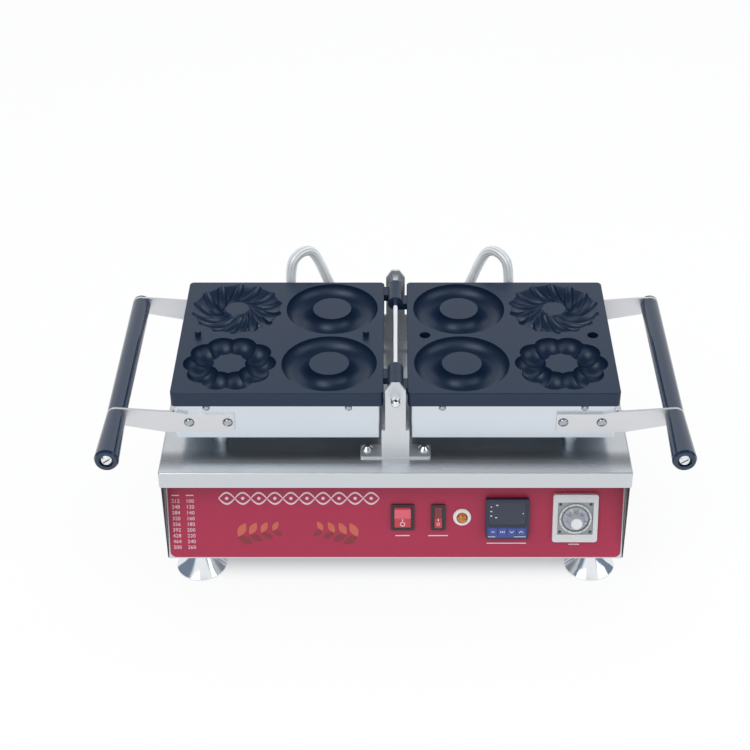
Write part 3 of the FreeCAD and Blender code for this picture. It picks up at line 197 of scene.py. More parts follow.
class DonutMakerStudio(bpy.types.PropertyGroup):
    """Camera and light"""

    lens: FloatProperty(name="Lens", description="Focal length on a 36 mm sensor", unit="CAMERA",
                        default=79.44)
    pitch: angle("Pitch", "How far the camera looks down", 35.5)
    distance: length("Distance", "From the base's front edge to the camera, along the floor", 1.3947)
    height: length("Height", "From the base's top to the camera", 1.1256)
    shift: FloatProperty(name="Shift", description="Sideways shift of the frame", default=-0.0273)
    floor_glow: FloatProperty(name="Floor glow", description="How much of the open floor is plain white",
                              min=0, max=1, default=0.90)
    floor_shade: FloatProperty(name="Floor shade", description="How much of that glow goes under the base",
                               min=0, max=1, default=0.80)


# Nodes and shader maths


def feed(tree, node, inputs):
    """Gives a node's sockets their values or their links."""
    for socket, given in inputs.items():
        given = getattr(given, "socket", given)
        if isinstance(given, bpy.types.NodeSocket):
            tree.links.new(given, node.inputs[socket])
        else:
            node.inputs[socket].default_value = given


def add_node(tree, kind, settings=None, inputs=None):
    """A node of a kind, with its settings first and then what its sockets are given."""
    node = tree.nodes.new(kind)
    for name, setting in (settings or {}).items():
        setattr(node, name, setting)
    feed(tree, node, inputs or {})
    return node


class Field:
    """A value that changes over a surface, with the arithmetic that the finishes need."""

    def __init__(self, finish, socket):
        self.finish, self.socket = finish, socket

    def _math(self, operation, first, second=0.0):
        return self.finish.add("ShaderNodeMath", {"operation": operation}, {0: first, 1: second})

    def __add__(self, other):
        return self._math("ADD", self, other)

    __radd__ = __add__

    def __sub__(self, other):
        return self._math("SUBTRACT", self, other)

    def __rsub__(self, other):
        return self._math("SUBTRACT", other, self)

    def __mul__(self, other):
        return self._math("MULTIPLY", self, other)

    def sine(self):
        return self._math("SINE", self)

    def size(self):
        return self._math("ABSOLUTE", self)

    def least(self, other):
        return self._math("MINIMUM", self, other)


class Finish:
    """A material whose nodes are added one by one to a Principled shader."""

    def __init__(self, name, rgb, roughness=0.5, **fixed):
        self.material = bpy.data.materials.new(name)
        self.material.use_nodes = True
        self.tree = self.material.node_tree
        self.shader = self.tree.nodes["Principled BSDF"]
        self.rgb, self.roughness = (*rgb, 1.0), roughness
        self.set({"Base Color": self.rgb, "Roughness": roughness, **fixed})
        self.material.diffuse_color = self.rgb

    def add(self, kind, settings=None, inputs=None, output=0):
        return Field(self, add_node(self.tree, kind, settings, inputs).outputs[output])

    def set(self, inputs):
        feed(self.tree, self.shader, inputs)

    def place(self, scale=(1, 1, 1)):
        """Object coordinates, stretched."""
        spot = self.add("ShaderNodeTexCoord", output="Object")
        return self.add("ShaderNodeMapping", {}, {"Vector": spot, "Scale": scale})

    def axis(self, number, spot=None):
        """One of the three coordinates of a place."""
        return self.add("ShaderNodeSeparateXYZ", {}, {0: spot or self.place()}, number)

    def ramp(self, given, low, high, kind="SMOOTHSTEP"):
        """0 up to a low value, 1 from a high one on, and a rise between them."""
        return self.add("ShaderNodeMapRange", {"interpolation_type": kind}, {
            "Value": given, "From Min": low, "From Max": high})

    def cells(self, scale):
        return self.add("ShaderNodeTexVoronoi", {"feature": "F1"}, {"Vector": self.place(), "Scale": scale})

    def noise(self, scale, detail=3, spot=None, rough=0.5):
        return self.add("ShaderNodeTexNoise", {}, {
            "Vector": spot or self.place(), "Scale": scale, "Detail": detail, "Roughness": rough})

    def mix(self, amount, first, second):
        return self.add("ShaderNodeMix", {"data_type": "RGBA"}, {0: amount, 6: first, 7: second}, output=2)

    def tint(self, amount, change):
        """Colour that varies from the finish's own to a share of it."""
        other = (*(min(c * change, 1.0) for c in self.rgb[:3]), 1.0)
        self.set({"Base Color": self.mix(amount, self.rgb, other)})

    def relief(self, height, strength, distance):
        return self.add("ShaderNodeBump", {}, {"Height": height, "Strength": strength, "Distance": distance})

    def bump(self, height, strength, distance, form=None):
        """Fine relief, on a broader one where that is given."""
        fine = self.relief(height, strength, distance)
        if form:
            feed(self.tree, fine.socket.node, {"Normal": form})
        self.set({"Normal": fine})


def front_fall(finish, metal, edge, top, width=0.042, drop=0.0034, paler=0.5, bend=0.002):
    """The slight fall of a sheet's top towards the bend at its front edge, where its lines are also paler."""
    rise = finish.ramp(finish.axis(1), edge, edge + width)
    flat = finish.ramp(finish.axis(2), top - bend, top, "LINEAR")
    finish.set({"Metallic": metal - (1 - rise) * (1 - rise) * flat * paler})
    return finish.relief(rise, 1.0, drop)


def dull_inside(finish, side, back, skin, shade_rgb, bright_share=0.4):
    """Bright on the outside of the side and back walls, with painted shade a skin's depth in from them, on
    the inner faces that lie in shade.
    """
    depth = (side - finish.axis(0).size()).least(back - finish.axis(1))
    inside = finish.ramp(depth, bright_share * skin, skin, "LINEAR")
    bright = Field(finish, finish.shader.inputs["Base Color"].links[0].from_socket)
    finish.set({"Base Color": finish.mix(inside, bright, (*shade_rgb, 1.0))})


def brushed_steel(name, rgb, roughness, along=(6, 260, 260), relief=0.05, metal=1.0, edge=None,
                  inside=None):
    """Sheet with fine lines along its length and faint smears from wiping."""
    finish = Finish(name, rgb, roughness, Metallic=metal)
    lines = finish.noise(scale=9, detail=4, spot=finish.place(along))
    smears = finish.noise(scale=7, spot=finish.place((1, 1.6, 1)), rough=0.6)
    finish.set({"Roughness": roughness + (lines - 0.5) * 0.12 + (smears - 0.5) * 0.14})
    finish.tint(lines * 0.35 + smears * 0.25, change=0.88)
    form = front_fall(finish, metal, *edge) if edge else None
    finish.bump(lines, strength=relief, distance=0.00008, form=form)
    # Painted shade on the inner faces of the walls
    if inside:
        dull_inside(finish, *inside)
    return finish.material


def plated(name, rgb, roughness=0.07):
    """Chrome with faint clouding."""
    finish = Finish(name, rgb, roughness, Metallic=1.0)
    clouds = finish.noise(scale=60)
    finish.set({"Roughness": roughness + clouds * 0.06})
    finish.tint(clouds * 0.4, change=0.9)
    return finish.material


def non_stick(name, rgb):
    """Sprayed coating on a casting: a fine grain, with slightly worn, greyer patches."""
    finish = Finish(name, rgb, 0.38, **{"Specular IOR Level": 0.55, "Specular Tint": (0.71, 0.84, 1.0, 1.0)})
    grain, patches = finish.noise(scale=1500, detail=2), finish.noise(scale=14, detail=4, rough=0.6)
    specks = finish.cells(scale=900)
    finish.set({"Roughness": 0.28 + grain * 0.06 + patches * 0.1})
    finish.tint(patches * 0.7 + grain * 0.3, change=1.35)
    finish.bump(grain * 0.7 + specks * 0.3, strength=0.12, distance=0.0001)
    return finish.material


def moulded(name, rgb, roughness=0.35, grain_scale=1400, **fixed):
    """Plastic with a fine moulded grain and slight changes of shade."""
    finish = Finish(name, rgb, roughness, **fixed)
    grain, drift = finish.noise(grain_scale, detail=2), finish.noise(scale=25)
    finish.set({"Roughness": roughness + (grain - 0.5) * 0.1 + (drift - 0.5) * 0.08})
    finish.tint(drift * 0.5 + grain * 0.2, change=0.85)
    finish.bump(grain, strength=0.06, distance=0.00006)
    return finish.material


def rocker_plastic(name, rgb, upper, height, blend_below=0.0012, blend_above=0.0006):
    """Red plastic whose upper half, above a height, is painted another colour: paler for a painted highlight,
    darker for painted shade.
    """
    finish = Finish(name, rgb, 0.2, **{"Coat Weight": 0.3})
    above = finish.ramp(finish.axis(2), height - blend_below, height + blend_above)
    grain = finish.noise(scale=1400, detail=2)
    deeper = (*(c * 0.85 for c in rgb), 1.0)
    shade = finish.mix(grain * 0.2, finish.rgb, deeper)
    finish.set({"Base Color": finish.mix(above, shade, (*upper, 1.0)), "Roughness": 0.17 + grain * 0.08})
    finish.bump(grain, strength=0.06, distance=0.00006)
    return finish.material


def printed_film(name, rgb):
    """Satin polyester film with a faint orange-peel and cloudy ink."""
    shine = {"Specular IOR Level": 0.32, "Coat Weight": 0.06, "Coat Roughness": 0.15}
    finish = Finish(name, rgb, 0.32, **shine)
    peel, clouds = finish.noise(scale=700, detail=2), finish.noise(scale=9)
    finish.set({"Roughness": 0.30 + peel * 0.06 + clouds * 0.05})
    finish.tint(clouds * 0.5, change=0.86)
    finish.bump(peel, strength=0.04, distance=0.00005)
    return finish.material


def ink(name, rgb):
    """Screen print: matt, with the slight thinning that a screen leaves."""
    finish = Finish(name, rgb, 0.55)
    mesh = finish.noise(scale=2200, detail=1)
    finish.tint(mesh * 0.3, change=0.85)
    finish.set({"Roughness": 0.5 + mesh * 0.1})
    return finish.material


def lens(name, rgb):
    """Clear amber plastic over a ribbed inside."""
    finish = Finish(name, rgb, 0.12, **{"Coat Weight": 0.6, "Coat Roughness": 0.05})
    cells = finish.cells(scale=420)
    finish.tint(cells * 1.1, change=0.35)
    finish.set({"Roughness": 0.1 + cells * 0.1})
    finish.bump(cells, strength=0.3, distance=0.0004)
    return finish.material


def braid(name, rgb, diameter, metres):
    """Pale metal braid: long strands that cross on the hose's own map, with painted shade between them."""
    finish = Finish(name, rgb, 0.34, Metallic=0.1)
    spot = finish.add("ShaderNodeUVMap", {"uv_map": "along"})
    strands_round, slant = 5, 0.04
    full_turn = math.tau * strands_round
    turns = slant * metres / diameter / math.pi
    across = finish.axis(0, spot) * full_turn
    along = finish.axis(1, spot) * (full_turn * turns)
    strands = (across + along).sine() * 0.5 + 0.5
    crossing = (across - along).sine() * 0.5 + 0.5
    weave = strands * crossing + (1 - strands) * (1 - crossing)
    finish.set({"Roughness": 0.44 - weave * 0.18})
    # Painted shade: darker between the strands
    gap_shade = 1 - weave
    finish.tint(gap_shade * gap_shade, change=0.5)
    finish.bump(weave, strength=0.3, distance=0.0004)
    return finish.material


# Meshes


def finished(name, mesh, material, body):
    """An object of a mesh that is already in place, riding on a body of the machine."""
    mesh.materials.clear()
    mesh.materials.append(material)
    thing = bpy.data.objects.new(name, mesh)
    bpy.context.collection.objects.link(thing)
    if body:
        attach(thing, body)
    return thing


def mesh_of(shape, name):
    """A mesh from a bmesh, with its doubles merged and its faces pointing outwards."""
    bmesh.ops.remove_doubles(shape, verts=shape.verts, dist=1e-7)
    bmesh.ops.recalc_face_normals(shape, faces=shape.faces)
    mesh = bpy.data.meshes.new(name)
    shape.to_mesh(mesh)
    shape.free()
    return mesh


def made(name, shape, material, body):
    """An object of a bmesh that is already in place."""
    finished(name, mesh_of(shape, name), material, body)


def prism(shape, outline, low, high, where):
    """A closed prism on a flat outline."""
    rings = [[shape.verts.new(where @ Vector((x, y, z))) for x, y in outline] for z in (low, high)]
    shape.faces.new(rings[1])
    shape.faces.new(rings[0][::-1])
    for k in range(len(outline)):
        after = (k + 1) % len(outline)
        shape.faces.new((rings[0][k], rings[0][after], rings[1][after], rings[1][k]))


def band(shape, inner, outer, low, high, where, closed):
    """A closed strip between two lines of as many points, such as a ring or a stroke."""
    lines = [[shape.verts.new(where @ Vector((x, y, z))) for x, y in line]
             for line in (inner, outer) for z in (low, high)]
    inner_low, inner_high, outer_low, outer_high = lines
    count = len(inner)
    for k in range(count if closed else count - 1):
        n = (k + 1) % count
        sides = (inner_high, outer_high, outer_low, inner_low, inner_high)
        for a, b in zip(sides, sides[1:]):
            shape.faces.new((a[k], b[k], b[n], a[n]))
    if not closed:
        for k in (0, count - 1):
            shape.faces.new((inner_low[k], inner_high[k], outer_high[k], outer_low[k]))


def circle_points(x, y, radius, count=40):
    turns = [math.tau * k / count for k in range(count)]
    return [(x + radius * math.cos(turn), y + radius * math.sin(turn)) for turn in turns]


def stroke(shape, points, width, low, high, where):
    """A line of some width along points; width may be one number or one for each point."""
    widths = width if isinstance(width, (list, tuple)) else [width] * len(points)
    sides = ([], [])
    for k, (x, y) in enumerate(points):
        before, after = points[max(k - 1, 0)], points[min(k + 1, len(points) - 1)]
        way = Vector((after[0] - before[0], after[1] - before[1])).normalized()
        for side, line in zip((1, -1), sides):
            line.append((x - side * way.y * widths[k] / 2, y + side * way.x * widths[k] / 2))
    band(shape, sides[0], sides[1], low, high, where, closed=False)


def figure(shape, number, size, thickness, where):
    """A number as a thin solid, centred on its place."""
    curve = bpy.data.curves.new("figure", "FONT")
    curve.body, curve.size, curve.extrude = str(number), size, thickness / 2
    curve.align_x, curve.align_y, curve.resolution_u = "CENTER", "CENTER", 3
    thing = bpy.data.objects.new("figure", curve)
    bpy.context.collection.objects.link(thing)
    mesh = bpy.data.meshes.new_from_object(thing.evaluated_get(bpy.context.evaluated_depsgraph_get()))
    mesh.transform(where @ Matrix.Translation((0, 0, thickness / 2)))
    shape.from_mesh(mesh)
    bpy.data.objects.remove(thing)
    bpy.data.meshes.remove(mesh)


def lathe(profile, where, count=48):
    """A turned shape: the profile is radius and height, from axis to axis."""
    shape = bmesh.new()
    rings = []
    for radius, height in profile:
        if radius == 0:
            rings.append([shape.verts.new(where @ Vector((0, 0, height)))])
        else:
            rim = circle_points(0, 0, radius, count)
            rings.append([shape.verts.new(where @ Vector((x, y, height))) for x, y in rim])
    for lower, upper in zip(rings, rings[1:]):
        for k in range(count):
            n = (k + 1) % count
            corners = [ring[at % len(ring)] for ring, at in ((lower, k), (lower, n), (upper, n), (upper, k))]
            shape.faces.new(list(dict.fromkeys(corners)))
    return shape


def panel_frame(context, across=0.0, up=0.0, out=0.0):
    """The leaning panel's own frame at a point: across, up the slope and out of it."""
    panel = context.scene.donut_panel
    turn = Matrix.Rotation(math.pi / 2 - panel.lean, 4, "X")
    foot = Matrix.Translation((0, COVER_LOW[1] + panel.setback, BASE_FOOT))
    return foot @ turn @ Matrix.Translation((across, up, out))


def middle_of(name):
    """The middle of a solid's box."""
    return [(low + high) / 2 for low, high in zip(*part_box(name))]


def on_control(context, name, out):
    """The panel's frame at the middle of a control, at a height over the film."""
    panel = context.scene.donut_panel
    return panel_frame(context, middle_of(name)[0], panel.row, panel.film + out)


def bar(shape, left, right, low, high, thickness, where):
    """A thin flat rectangle."""
    prism(shape, [(left, low), (right, low), (right, high), (left, high)], 0, thickness, where)


def dress(names, material):
    """Gives solids of the machine a finish."""
    for name in names:
        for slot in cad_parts[name].material_slots:
            slot.material = material


def both(*names):
    return [f"{side}_{name}" for side, _ in SIDES for name in names]


# Operators


class DressSteel(bpy.types.Operator):
    """Sheet steel, plain steel and chrome"""

    bl_idname = "donut_maker.dress_steel"
    bl_label = "Steel and chrome"

    def execute(self, context):
        colours = context.scene.donut_finishes
        edge = (COVER_LOW[1], COVER_HIGH[2])
        side, back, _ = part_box("chassis")[1]
        # The chassis gets painted shade on the inner faces of its walls
        inside = (side, back, WALL_SKIN, colours.inside)
        for node, name, extra in (
            ("top_cover", "cover_sheet", {"metal": 0.97, "edge": edge}),
            ("front_panel", "bright_sheet", {"metal": 0.9}),
            ("chassis", "wall_sheet", {"metal": 0.9, "inside": inside}),
        ):
            dress([node], brushed_steel(name, colours.steel, roughness=0.24, relief=0.2, **extra))
        dress(["front_bracket", "rear_bracket"], brushed_steel(
            "bracket_sheet", colours.bracket, roughness=0.42, along=(260, 260, 8), metal=0.75))
        dress(both("housing"), brushed_steel("housing_sheet", colours.housing, roughness=0.36))
        dress(both("front_arm", "rear_arm"), brushed_steel("arm_strip", colours.arm, roughness=0.36))
        plain = both("heater", "probe", "hose_elbow")
        plain += ["floor_plate", "rest_posts", "foot_nuts", "base_glands"]
        dress(plain, brushed_steel("plain_steel", colours.steel, roughness=0.32, along=(180, 180, 20)))
        dress(["feet", "hinge_fasteners", "hinge_rod"] + both("handle_rod"), plated("chrome", colours.chrome))
        dress(["lamp_bezel"], moulded("lamp_ring", colours.lamp_ring, roughness=0.25))
        dress(both("insulation"), moulded("fibre_board", colours.fibre, roughness=0.9, grain_scale=300))
        return {"FINISHED"}


class DressPlates(bpy.types.Operator):
    """Non-stick baking plates and black grips"""

    bl_idname = "donut_maker.dress_plates"
    bl_label = "Plates and grips"

    def execute(self, context):
        colours = context.scene.donut_finishes
        dress(both("mold_plate", "hinge_ears") + ["left_pins"], non_stick("plate_coating", colours.coating))
        shine = {"Coat Weight": 0.3, "Coat Roughness": 0.08}
        phenolic = moulded("phenolic", colours.phenolic, roughness=0.2, grain_scale=900, **shine)
        dress(both("grip", "grip_ends"), phenolic)
        return {"FINISHED"}


class PrintPanel(bpy.types.Operator):
    """Coloured film with a table of temperatures, a wave and two sprigs of leaves"""

    bl_idname = "donut_maker.print_panel"
    bl_label = "Printed panel"

    # Places across the panel and up its slope
    columns = (-0.244, -0.228)
    table_top, table_pitch, table_rows = 0.0705, 0.0071, 9
    first_celsius, celsius_step = 100, 20
    figure_size, head_half_width = 0.0062, 0.0042
    wave_start, wave_length, wave_up, wave_swing, wave_eyes = -0.196, 0.178, 0.074, 0.0068, 10
    eye_steps, wave_thin, wave_swell, dot_radius = 16, 0.0010, 0.0011, 0.0019
    sprigs = ((-0.176, 1), (-0.042, -1))
    sprig_up, leaf_pairs, leaf_pitch, leaf_climb = 0.027, 4, 0.013, 0.0024
    warm_tilt, dark_tilt = 62, -28
    leaf_size, leaf_shrink, leaf_fullness, leaf_steps = 0.019, 0.002, 0.24, 10
    bar_half_height = 0.0006
    bars = (("power_switch", 0.008, 0.0283), ("alarm_switch", 0.011, 0.0283),
            ("controller_case", 0.022, 0.0189), ("timer_frame", 0.006, 0.0176))

    def execute(self, context):
        colours, panel = context.scene.donut_finishes, context.scene.donut_panel
        dress(["panel_film"], printed_film("panel_film", colours.film))
        where = panel_frame(context, out=panel.film)
        pale, dark, warm = bmesh.new(), bmesh.new(), bmesh.new()
        self.table(pale, panel.ink, where)
        self.wave(pale, panel.ink, where)
        self.control_bars(pale, panel.ink, where)
        self.leaves(dark, warm, panel.ink, where)
        for name, shape in (("print_pale", pale), ("print_dark", dark), ("print_warm", warm)):
            made(name, shape, ink(name, getattr(colours, name)), "base")
        return {"FINISHED"}

    def table(self, shape, thickness, where):
        """Rows of plain temperatures under two bars, in Fahrenheit and in Celsius."""
        head = self.table_top + self.table_pitch
        for across in self.columns:
            bar(shape, across - self.head_half_width, across + self.head_half_width,
                head - self.bar_half_height, head + self.bar_half_height, thickness, where)
        for row in range(self.table_rows):
            celsius = self.first_celsius + self.celsius_step * row
            up = self.table_top - row * self.table_pitch
            for across, degrees in zip(self.columns, (round(1.8 * celsius + 32), celsius)):
                spot = where @ Matrix.Translation((across, up, 0))
                figure(shape, degrees, self.figure_size, thickness, spot)

    def wave(self, shape, thickness, where):
        """Two crossing waves with dots in their eyes."""
        eye = self.wave_length / self.wave_eyes
        turns = [math.pi * k / self.eye_steps for k in range(self.eye_steps * self.wave_eyes + 1)]
        widths = [self.wave_thin + self.wave_swell * abs(math.sin(turn)) for turn in turns]
        for swing in (self.wave_swing, -self.wave_swing):
            points = [(self.wave_start + eye * turn / math.pi, self.wave_up + swing * math.sin(turn))
                      for turn in turns]
            stroke(shape, points, widths, 0, thickness, where)
        for k in range(self.wave_eyes):
            dot = circle_points(self.wave_start + eye * (k + 0.5), self.wave_up, self.dot_radius, count=24)
            prism(shape, dot, 0, thickness, where)

    def control_bars(self, shape, thickness, where):
        """A plain bar under each control."""
        for name, half_width, up in self.bars:
            middle = middle_of(name)[0]
            bar(shape, middle - half_width, middle + half_width, up - self.bar_half_height,
                up + self.bar_half_height, thickness, where)

    def leaves(self, dark, warm, thickness, where):
        """Two sprigs of simple leaves that lean towards each other."""
        for start, sign in self.sprigs:
            for k in range(self.leaf_pairs):
                spot = Vector((start + sign * self.leaf_pitch * k, self.sprig_up + self.leaf_climb * k))
                for tilt, shape in ((self.warm_tilt, warm), (self.dark_tilt, dark)):
                    turn = math.radians(90 - sign * (90 - tilt))
                    self.leaf(shape, spot, turn, self.leaf_size - self.leaf_shrink * k, thickness, where)

    def leaf(self, shape, spot, turn, size, thickness, where):
        steps, full = self.leaf_steps, self.leaf_fullness * size
        half = [(size * k / steps, full * math.sin(math.pi * k / steps)) for k in range(steps + 1)]
        outline = half + [(x, -y) for x, y in half[-2:0:-1]]
        placed = [Matrix.Rotation(turn, 2) @ Vector(point) + spot for point in outline]
        prism(shape, [tuple(point) for point in placed], 0, thickness, where)


class MarkControls(bpy.types.Operator):
    """Switches, lamp, controller and timer, with their marks"""

    bl_idname = "donut_maker.mark_controls"
    bl_label = "Controls"

    # The rockers' marks: places as shares of the reach from the pivot to an end, and sizes in millimetres
    stroke_places, stroke_width = (0.12, 0.36), 1.0
    circle_place, circle_radii = 0.65, (2.0, 2.8)

    # Each rocker, the scale of its ring and the way it leans at rest
    rocker_leans = (("power", 1.0, 1), ("alarm", 0.62, -1))

    # Places on the controller, in millimetres from its middle
    dashes = ((-18, 15, 0.8), (-18, 9.5, 1.1), (-18, 4, 1.1), (-11.5, 17, 1.3), (-12.5, 2, 1.1),
              (17.5, 7, 0.6))
    dash_half_height = 0.55
    case_lines, line_low, line_high = ((-21, -13), (8, 21)), -21.6, -20.9
    strip_half_width, strip_foot, strip_top = 21.6, -22.3, -9.8
    key_steps = (-1.5, -0.5, 0.5, 1.5)
    key_signs = (
        [[(-1.8, 0), (1.8, 0)]],
        [[(x, -1), (x, 1.2)] for x in (-2, 0, 2)],
        [[(-2.2, 1.1), (0, -1.1), (2.2, 1.1)]],
        [[(-2.2, -1.1), (0, 1.1), (2.2, -1.1)]],
    )
    sign_width = 0.8

    # Places on the timer, in millimetres from its middle, with its ticks in degrees and the cap's radius in
    # shares of the knob's top
    corners, screw_radius, screw_rise = (-16.8, 16.8), 1.7, 0.2
    tick_count, first_tick, tick_step, tick_inset, tick_width = 11, 240, 30, 0.4, 0.6
    cap_profile = ((0, 0), (1, 0), (1, 0.5), (0.88, 1.1), (0.47, 1.5), (0, 1.6))

    def execute(self, context):
        colours = context.scene.donut_finishes
        black = moulded("black_plastic", colours.black, roughness=0.4)
        dress(["power_switch", "alarm_switch", "relay", "buzzer"], black)
        dress(["controller_case"], moulded("case_dark", colours.case, roughness=0.4))
        dress(["terminal_block"], moulded("terminal_cream", colours.cream, roughness=0.5))
        # The upper halves: a painted highlight on the power rocker and painted shade on the alarm rocker
        for name, upper in (("power_rocker", colours.rocker_lit), ("alarm_rocker", colours.rocker_dim)):
            dress([name], rocker_plastic(name, colours.rocker, upper, middle_of(name)[2]))
        window = moulded("window_dark", colours.window, roughness=0.12, grain_scale=300)
        dress(["controller_window"], window)
        blue = moulded("key_blue", colours.keys, roughness=0.42)
        dress([f"controller_key_{k}" for k in range(1, 5)], blue)
        dress(["lamp_lens"], lens("lamp_amber", colours.amber))
        grey = moulded("timer_grey", colours.timer, roughness=0.42)
        dress(["timer_frame"], grey)
        dress(["timer_body"], moulded("timer_face", colours.timer_face, roughness=0.42))
        dress(["timer_knob"], moulded("knob_grey", colours.knob, roughness=0.25, **{"Coat Weight": 0.4}))
        pale = ink("control_white", colours.mark)
        self.rockers(context, pale)
        self.controller(context, pale)
        self.key_strip(context, blue)
        self.keys(context, pale)
        self.timer(context, grey)
        return {"FINISHED"}

    def rockers(self, context, pale):
        """A stroke and a ring on the lower half of each rocker."""
        sizes = context.scene.donut_controls
        reach = sizes.rocker_radius * math.cos(sizes.rocker_end)
        slope = math.atan2(sizes.rocker_radius * math.sin(sizes.rocker_end) - sizes.rocker_dish, reach)
        for name, scale, way in self.rocker_leans:
            shape = bmesh.new()
            hub = on_control(context, f"{name}_rocker", 0) @ Matrix.Rotation(way * sizes.rocker_tilt, 4, "X")
            face = hub @ Matrix.Translation((0, 0, sizes.rocker_dish)) @ Matrix.Rotation(-slope, 4, "X")
            ends = [(0, -place * reach) for place in self.stroke_places]
            stroke(shape, ends, self.stroke_width * MM, 0, sizes.mark, face)
            rings = [circle_points(0, -self.circle_place * reach, radius * scale * MM)
                     for radius in self.circle_radii]
            band(shape, *rings, 0, sizes.mark, face, closed=True)
            made(f"{name}_rocker_marks", shape, pale, f"{name}_rocker")

    def controller(self, context, pale):
        """Dashes that stand for the lamps in the window, and two lines under the keys."""
        sizes = context.scene.donut_controls
        shape = bmesh.new()
        glass = on_control(context, "controller_case", sizes.glass_rise)
        for x, y, half in self.dashes:
            bar(shape, (x - half) * MM, (x + half) * MM, (y - self.dash_half_height) * MM,
                (y + self.dash_half_height) * MM, sizes.mark, glass)
        case = on_control(context, "controller_case", sizes.case_rise + sizes.mark)
        for left, right in self.case_lines:
            bar(shape, left * MM, right * MM, self.line_low * MM, self.line_high * MM, sizes.mark, case)
        made("controller_marks", shape, pale, "base")

    def key_strip(self, context, blue):
        """A blue strip on the case, round the wells of the keys."""
        sizes = context.scene.donut_controls
        case = on_control(context, "controller_case", sizes.case_rise)
        shape = bmesh.new()
        half_width = self.strip_half_width * MM
        well_low, well_high = -sizes.key_drop - sizes.key_half_height, -sizes.key_drop + sizes.key_half_height
        bar(shape, -half_width, half_width, self.strip_foot * MM, well_low, sizes.mark, case)
        bar(shape, -half_width, half_width, well_high, self.strip_top * MM, sizes.mark, case)
        left = -half_width
        for step in self.key_steps:
            middle = step * sizes.key_pitch
            bar(shape, left, middle - sizes.key_half_width, well_low, well_high, sizes.mark, case)
            left = middle + sizes.key_half_width
        bar(shape, left, half_width, well_low, well_high, sizes.mark, case)
        made("key_strip", shape, blue, "base")

    def keys(self, context, pale):
        """Plain signs on the keys: a dash, three strokes, a fall and a rise."""
        sizes = context.scene.donut_controls
        for k, (step, lines) in enumerate(zip(self.key_steps, self.key_signs), start=1):
            middle = Matrix.Translation((step * sizes.key_pitch, -sizes.key_drop, 0))
            key = on_control(context, "controller_case", sizes.key_rise) @ middle
            shape = bmesh.new()
            for line in lines:
                points = [(x * MM, y * MM) for x, y in line]
                stroke(shape, points, self.sign_width * MM, 0, sizes.mark, key)
            made(f"key_{k}_mark", shape, pale, f"controller_key_{k}")

    def timer(self, context, grey):
        """Corner screws, a pale dial ring with ticks, and a cap on the knob."""
        sizes = context.scene.donut_controls
        face = on_control(context, "timer_frame", sizes.dial_rise)
        heads, ring, ticks = bmesh.new(), bmesh.new(), bmesh.new()
        for x in self.corners:
            for y in self.corners:
                rim = circle_points(x * MM, y * MM, self.screw_radius * MM, count=24)
                prism(heads, rim, 0, self.screw_rise * MM, face)
        top = face @ Matrix.Translation((0, 0, sizes.ring_rise))
        rims = [circle_points(0, 0, radius, count=64) for radius in (sizes.ring_inner, sizes.ring_outer)]
        band(ring, *rims, 0, sizes.mark, top, closed=True)
        inset = self.tick_inset * MM
        for k in range(self.tick_count):
            turn = math.radians(self.first_tick - self.tick_step * k)
            way = Vector((math.cos(turn), math.sin(turn)))
            ends = [tuple(way * radius) for radius in (sizes.ring_inner + inset, sizes.ring_outer - inset)]
            stroke(ticks, ends, self.tick_width * MM, sizes.mark, 2 * sizes.mark, top)
        colours = context.scene.donut_finishes
        dark = moulded("timer_dark", colours.timer_dark, roughness=0.4)
        made("timer_screws", heads, dark, "base")
        made("timer_ring", ring, grey, "base")
        made("timer_ticks", ticks, dark, "base")
        dome = [(share * sizes.knob_top, rise * MM) for share, rise in self.cap_profile]
        cap = lathe(dome, face @ Matrix.Translation((0, 0, sizes.knob_rise)))
        white = moulded("cap_white", colours.cap, roughness=0.25)
        made("knob_cap", cap, white, "timer_knob")


# The cross recess, as shares of a screw head's radius
CROSS_REACH, CROSS_WIDTH = 0.6, 0.34


